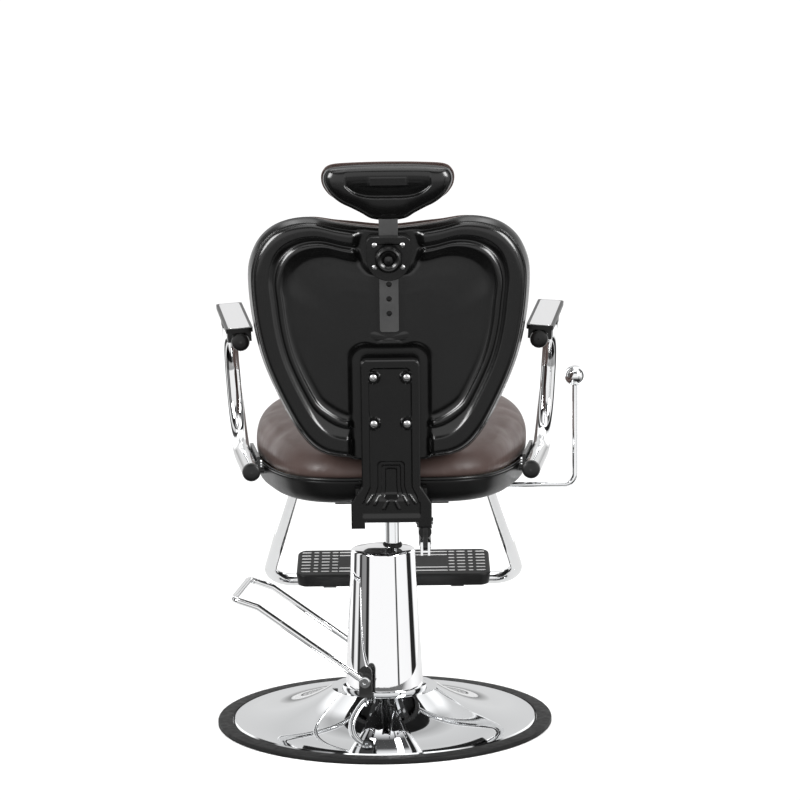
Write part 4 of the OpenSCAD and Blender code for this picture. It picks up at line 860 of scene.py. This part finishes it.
def footrest_pad():
    place = Matrix.Translation((CHAIR_X * MM, 0.404, 0.189)) @ Matrix.Rotation(math.radians(12), 4, "X")
    half_w, half_l, low, high = 196, 66, 11.5, 37.5
    rib_height, edge_radius, corner = 1.5, 4.5, 20

    def rib(x, y):
        height = 0.0
        side = abs(x)
        for k, row in enumerate((-48, -32, -16, 0, 16, 32, 48)):
            line = 1 - smoothstep(1.2, 2.6, abs(y - row))
            block = smoothstep(111, 114, side) * (1 - smoothstep(185, 188, side)) * (
                1 if min(abs(side - gap) for gap in (127, 149, 165)) > 2.6 else 0)
            long_line = (1 - smoothstep(108, 112, side)) if k in (0, 1, 5, 6) else 0.0
            height = max(height, line * max(block, long_line))
        return rib_height * height

    def outline(x, y):
        """Pull the grid's corners in to a rounded rectangle."""
        ax, ay = abs(x), abs(y)
        cx, cy = half_w - corner, half_l - corner
        if ax > cx and ay > cy:
            dx, dy = ax - cx, ay - cy
            scale = max(dx, dy) / math.hypot(dx, dy)
            ax, ay = cx + dx * scale, cy + dy * scale
        return math.copysign(ax, x), math.copysign(ay, y)

    def outer(x, y):
        px, py = outline(x, y)
        from_edge = min(half_w - abs(x), half_l - abs(y), edge_radius)
        drop = edge_radius * (1 - math.sqrt(max(0.0, 1 - (1 - from_edge / edge_radius) ** 2)))
        return (px, py, high - drop + rib(px, py))

    def inner(x, y):
        px, py = outline(x, y)
        return (px * 0.985, py * 0.96, low)

    def on_both_sides(values):
        return sorted({round(math.copysign(k, side), 3) for side in (-1, 1) for k in values})

    columns = on_both_sides(
        [0, *spread(4, 104, 10), *spread(106, 190, 1.2), 191.5, 193, 194.4, 195.4, half_w]
    )
    rows = on_both_sides([*spread(0, 58, 1.0), 60, 61.5, 63, 64.4, 65.4, half_l])
    piece = slab("footrest_pad_moulding", columns, rows, outer, inner, place)
    dress(piece, "footrest_plastic", "foot_pad")
    # The faces on top of the ribs take the light grey copy of the plastic: painted highlight along the ribs
    piece.data.materials.append(MATERIALS["footrest_ridge_highlight"])
    flat = place.inverted()
    for polygon in piece.data.polygons:
        if (flat @ polygon.center).z > (high + rib_height / 2) * MM:
            polygon.material_index = 1
    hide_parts("footrest_pad")


# ---------- headrest ----------

# Right halves of the outlines of the shell and the pad
HEAD_SHELL_HALF = [
    (0, 531), (28, 534), (46, 544), (63, 553), (81, 562), (96, 574), (107, 589), (111, 602), (108, 615),
    (97, 623), (60, 627), (0, 628),
]
HEAD_PAD_HALF = [
    (0, 554), (56, 558), (92, 570), (108, 586), (113, 602), (110, 616), (97, 626), (60, 629), (0, 630),
]


HEAD_MIDDLE, HEAD_HALF_SIZE = (0, 594), (113, 62)


def head_ring(half, d, y, fall=0.0):
    outline = spline(both_sides(half), 14)
    return [(x, y, z - fall) for x, z in drawn_in(outline, HEAD_MIDDLE, HEAD_HALF_SIZE, d)]


def headrest_shell():
    edge = [(5, 14.0), (2.4, 14.0), (1.2, 13.0), (0.2, 9), (0, 5)]
    dome = [
        (1, 0.5), (2.8, -3.0), (6, -6.6), (10, -9.4), (15, -11.6), (21, -13.2), (27, -14.2), (33, -14.8),
        (39, -15.2), (45, -15.4), (51, -15.6), (56, -15.6), (59, -15.6),
    ]
    rings = []
    for d, y in edge + spline(dome, 5, closed=False):
        ring = []
        for x, _, z in head_ring(HEAD_SHELL_HALF, d, y):
            bowl = 573 + 22 * (min(abs(x), 90) / 74) ** 4
            inside = smoothstep(-1.0, 2.5, z - bowl) * (1 - smoothstep(70, 76, abs(x)))
            plaque = (1 - smoothstep(30.5, 33, abs(x))) * (1 - smoothstep(6.5, 8.5, abs(z - 602)))
            sunk = max(0.5, 8.0 - 0.17 * (z - 575)) * (1 - plaque) + 2.0 * plaque
            ring.append((x, y + sunk * inside * smoothstep(-7.0, -10.0, y), z))
        rings.append(ring)
    piece = loft("headrest_shell_moulding", rings, BACK)
    dress(piece, "shell_plastic", "headrest")
    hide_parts("headrest_shell")


def headrest_pad():
    y = 14.4

    def pad_ring(d, depth):
        """The pad's outline, lower the further it lies in front of the shell."""
        return head_ring(HEAD_PAD_HALF, d, depth, 0.16 * (depth - y))

    profile = [
        (6, y), (2, y + 2.5), (0.8, y + 8), (2.2, y + 13), (1.2, y + 20), (2.2, y + 30), (6, y + 41),
        (14, y + 50), (25, y + 56), (38, y + 58), (50, y + 59), (58, y + 59),
    ]
    rings = [pad_ring(*p) for p in spline(profile, 3, closed=False)]
    piece = loft("headrest_pad_cover", rings, BACK)
    inflate(piece, 0.004, 0.003)
    hold_front(piece, y, 3)
    dress(piece, "brown_leather", "headrest")
    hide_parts("headrest_cushion")
    for name, d, depth in (("headrest_welt_rear", 0.4, y + 3.0), ("headrest_welt_front", 1.6, y + 13.5)):
        welt = tube(name, pad_ring(d, depth)[::2], 1.7, 8, BACK, closed=True)
        dress(welt, "brown_leather", "headrest")


# ---------- floor, light ----------

FLOOR_Z = -0.2
FLOOR_REACH = 620
# Shade of the floor that shiny surfaces see, by metres along y
FLOOR_SEEN = [(-0.62, 0.06), (-0.36, 0.06), (-0.22, 0.40), (0.0, 0.60), (0.5, 0.60)]


def add_floor():
    """A pale floor; shiny surfaces see it greyer, and dark at its edge on the camera's side of the chair."""
    data = bpy.data.materials.new("floor")
    data.use_nodes = True
    new, link = data.node_tree.nodes.new, data.node_tree.links.new
    shader = data.node_tree.nodes["Principled BSDF"]
    split = new("ShaderNodeSeparateXYZ")
    link(new("ShaderNodeTexCoord").outputs["Object"], split.inputs[0])
    near, far = FLOOR_SEEN[0][0], FLOOR_SEEN[-1][0]
    along = new("ShaderNodeMapRange")
    along.inputs["From Min"].default_value = near
    along.inputs["From Max"].default_value = far
    link(split.outputs["Y"], along.inputs["Value"])
    reflected = new("ShaderNodeValToRGB")
    fill_ramp(reflected, to_unit(FLOOR_SEEN, near, far))
    link(along.outputs[0], reflected.inputs["Fac"])
    level = new("ShaderNodeMapRange")
    link(new("ShaderNodeLightPath").outputs["Is Glossy Ray"], level.inputs["Value"])
    level.inputs["To Min"].default_value = 0.97
    link(reflected.outputs["Color"], level.inputs["To Max"])
    link(level.outputs[0], shader.inputs["Base Color"])
    shader.inputs["Roughness"].default_value = 0.9
    shader.inputs["Specular IOR Level"].default_value = 0.1
    steps = 48
    half_turn = [k * math.pi / steps for k in range(steps + 1)]
    outline = [(-4000, 12000), (-FLOOR_REACH, 300)]
    outline += [(-FLOOR_REACH * math.cos(a), -FLOOR_REACH * math.sin(a)) for a in half_turn]
    outline += [(FLOOR_REACH, 300), (4000, 12000)]
    points = [(x, y, FLOOR_Z) for x, y in outline]
    piece = make_piece("floor", points, [tuple(range(len(points)))], smooth=False)
    piece.data.materials.append(data)


# Brightness that shiny surfaces see, by degrees around from the camera's side
AROUND = [
    (-180, 0.72), (-157, 0.78), (-150, 1.5), (-128, 1.4), (-121, 0.10), (-109, 0.03), (-105, 0.8),
    (-92, 0.88), (-88, 0.02), (-81, 0.03), (-77, 0.22), (-62, 0.25), (-58, 0.02), (-50, 0.02), (-47, 0.90),
    (40.5, 0.90), (41.5, 0.03), (46, 0.03), (47, 0.90), (90, 0.88), (92, 0.02), (112, 0.02), (116, 0.80),
    (130, 1.4), (150, 1.5), (157, 0.78), (180, 0.72),
]
# The same by degrees above the horizon, on the camera's side and behind the chair
ABOVE_FRONT = [
    (-90, 0.01), (-36, 0.01), (-31, 0.42), (-18, 0.36), (-15, 1.0), (24, 1.0), (30, 0.10), (44, 0.08),
    (50, 0.75), (62, 2.2), (90, 2.6),
]
ABOVE_BACK = [
    (-90, 0.90), (4, 0.95), (11, 1.02), (24, 0.92), (36, 1.0), (44, 0.66), (54, 0.85), (62, 2.4), (90, 2.6),
]
# Where the surroundings are dimmed for the grazing edges of round bars: around, and above the horizon
STRAIGHT_BEHIND = [(-180, 1.0), (-166, 1.0), (-158, 0.0), (158, 0.0), (166, 1.0), (180, 1.0)]
LOW_DOWN = [(-90, 1.0), (0, 1.0), (5, 0.0), (90, 0.0)]
DIMMED_BY = 0.62
PLAIN_STRENGTH, SEEN_STRENGTH = 1.08, 1.10


def add_world():
    """White surroundings; shiny surfaces see dark gaps between the studio's white screens."""
    world = bpy.data.worlds.new("studio")
    bpy.context.scene.world = world
    world.use_nodes = True
    tree = world.node_tree
    tree.nodes.clear()
    new, link = tree.nodes.new, tree.links.new

    def math_node(kind, a, b=None):
        node = new("ShaderNodeMath")
        node.operation = kind
        for socket, value in ((0, a), (1, b)):
            if value is None:
                continue
            if isinstance(value, (int, float)):
                node.inputs[socket].default_value = value
            else:
                link(value, node.inputs[socket])
        return node.outputs[0]

    def ramp(value, stops, low, high):
        node = new("ShaderNodeValToRGB")
        fill_ramp(node, to_unit(stops, low, high))
        scaled = math_node("DIVIDE", math_node("SUBTRACT", value, low), high - low)
        link(scaled, node.inputs["Fac"])
        return node.outputs["Color"]

    out = new("ShaderNodeOutputWorld")
    plain = new("ShaderNodeBackground")
    plain.inputs["Color"].default_value = (1, 1, 1, 1)
    plain.inputs["Strength"].default_value = PLAIN_STRENGTH
    seen = new("ShaderNodeBackground")
    seen.inputs["Strength"].default_value = SEEN_STRENGTH
    split = new("ShaderNodeSeparateXYZ")
    link(new("ShaderNodeTexCoord").outputs["Generated"], split.inputs[0])
    x, y, z = split.outputs["X"], split.outputs["Y"], split.outputs["Z"]
    azimuth = math_node("MULTIPLY", math_node("ARCTAN2", x, math_node("MULTIPLY", y, -1)), 180 / math.pi)
    elevation = math_node("MULTIPLY", math_node("ARCSINE", z), 180 / math.pi)
    around = ramp(azimuth, AROUND, -180, 180)
    ahead = math_node("GREATER_THAN", math_node("MULTIPLY", y, -1), 0.05)
    front = math_node("MULTIPLY", ahead, ramp(elevation, ABOVE_FRONT, -90, 90))
    back = math_node("MULTIPLY", math_node("SUBTRACT", 1, ahead), ramp(elevation, ABOVE_BACK, -90, 90))
    behind, low_down = ramp(azimuth, STRAIGHT_BEHIND, -180, 180), ramp(elevation, LOW_DOWN, -90, 90)
    straight = math_node("MULTIPLY", behind, low_down)
    dimmed = math_node("SUBTRACT", 1, math_node("MULTIPLY", straight, DIMMED_BY))
    level = math_node("MULTIPLY", math_node("MULTIPLY", around, math_node("ADD", front, back)), dimmed)
    link(level, seen.inputs["Color"])
    path = new("ShaderNodeLightPath")
    mix = new("ShaderNodeMixShader")
    link(path.outputs["Is Glossy Ray"], mix.inputs["Fac"])
    link(plain.outputs[0], mix.inputs[1])
    link(seen.outputs[0], mix.inputs[2])
    link(mix.outputs[0], out.inputs["Surface"])


LIGHT_SIZE, LIGHT_POWER = (1.2, 1.8), 110
LIGHT_TARGET = (0, -0.2, 0.7)


def add_light(name, place):
    data = bpy.data.lights.new(name, "AREA")
    data.shape = "RECTANGLE"
    data.size, data.size_y = LIGHT_SIZE
    data.energy = LIGHT_POWER
    light = add_object(name, data)
    way = Vector(place) - Vector(LIGHT_TARGET)
    light.matrix_world = Matrix.Translation(place) @ way.to_track_quat("Z", "Y").to_matrix().to_4x4()


# Widths in mm of the small bevels on the edges of CAD pieces
BEVELS = {
    "headrest_clamp": 1.4, "index_knob": 1.2, "armrest_left": 1.6, "armrest_right": 1.6, "arm_saddles": 1.0,
    "armrest_plate_left": 0.8, "armrest_plate_right": 0.8, "headrest_bar": 0.6, "back_upright": 0.8,
}

add_camera()
add_floor()
add_world()
add_light("left_box", (-2.4, -2.0, 2.1))
add_light("right_box", (2.4, -2.0, 2.1))
scene = bpy.context.scene
scene.view_settings.view_transform = "Standard"
scene.view_settings.look = "None"

dress_nodes()
seat_tray()
seat_cushion()
back_shell()
back_cushion()
upright_cover()
all_screws()
headrest_shell()
headrest_pad()
footrest_pad()

for piece in nodes.values():
    smooth_by_angle(piece)
for name, width in BEVELS.items():
    add_modifier(
        nodes[name], "BEVEL", width=width * MM, segments=3, limit_method="ANGLE", angle_limit=math.radians(40)
    )
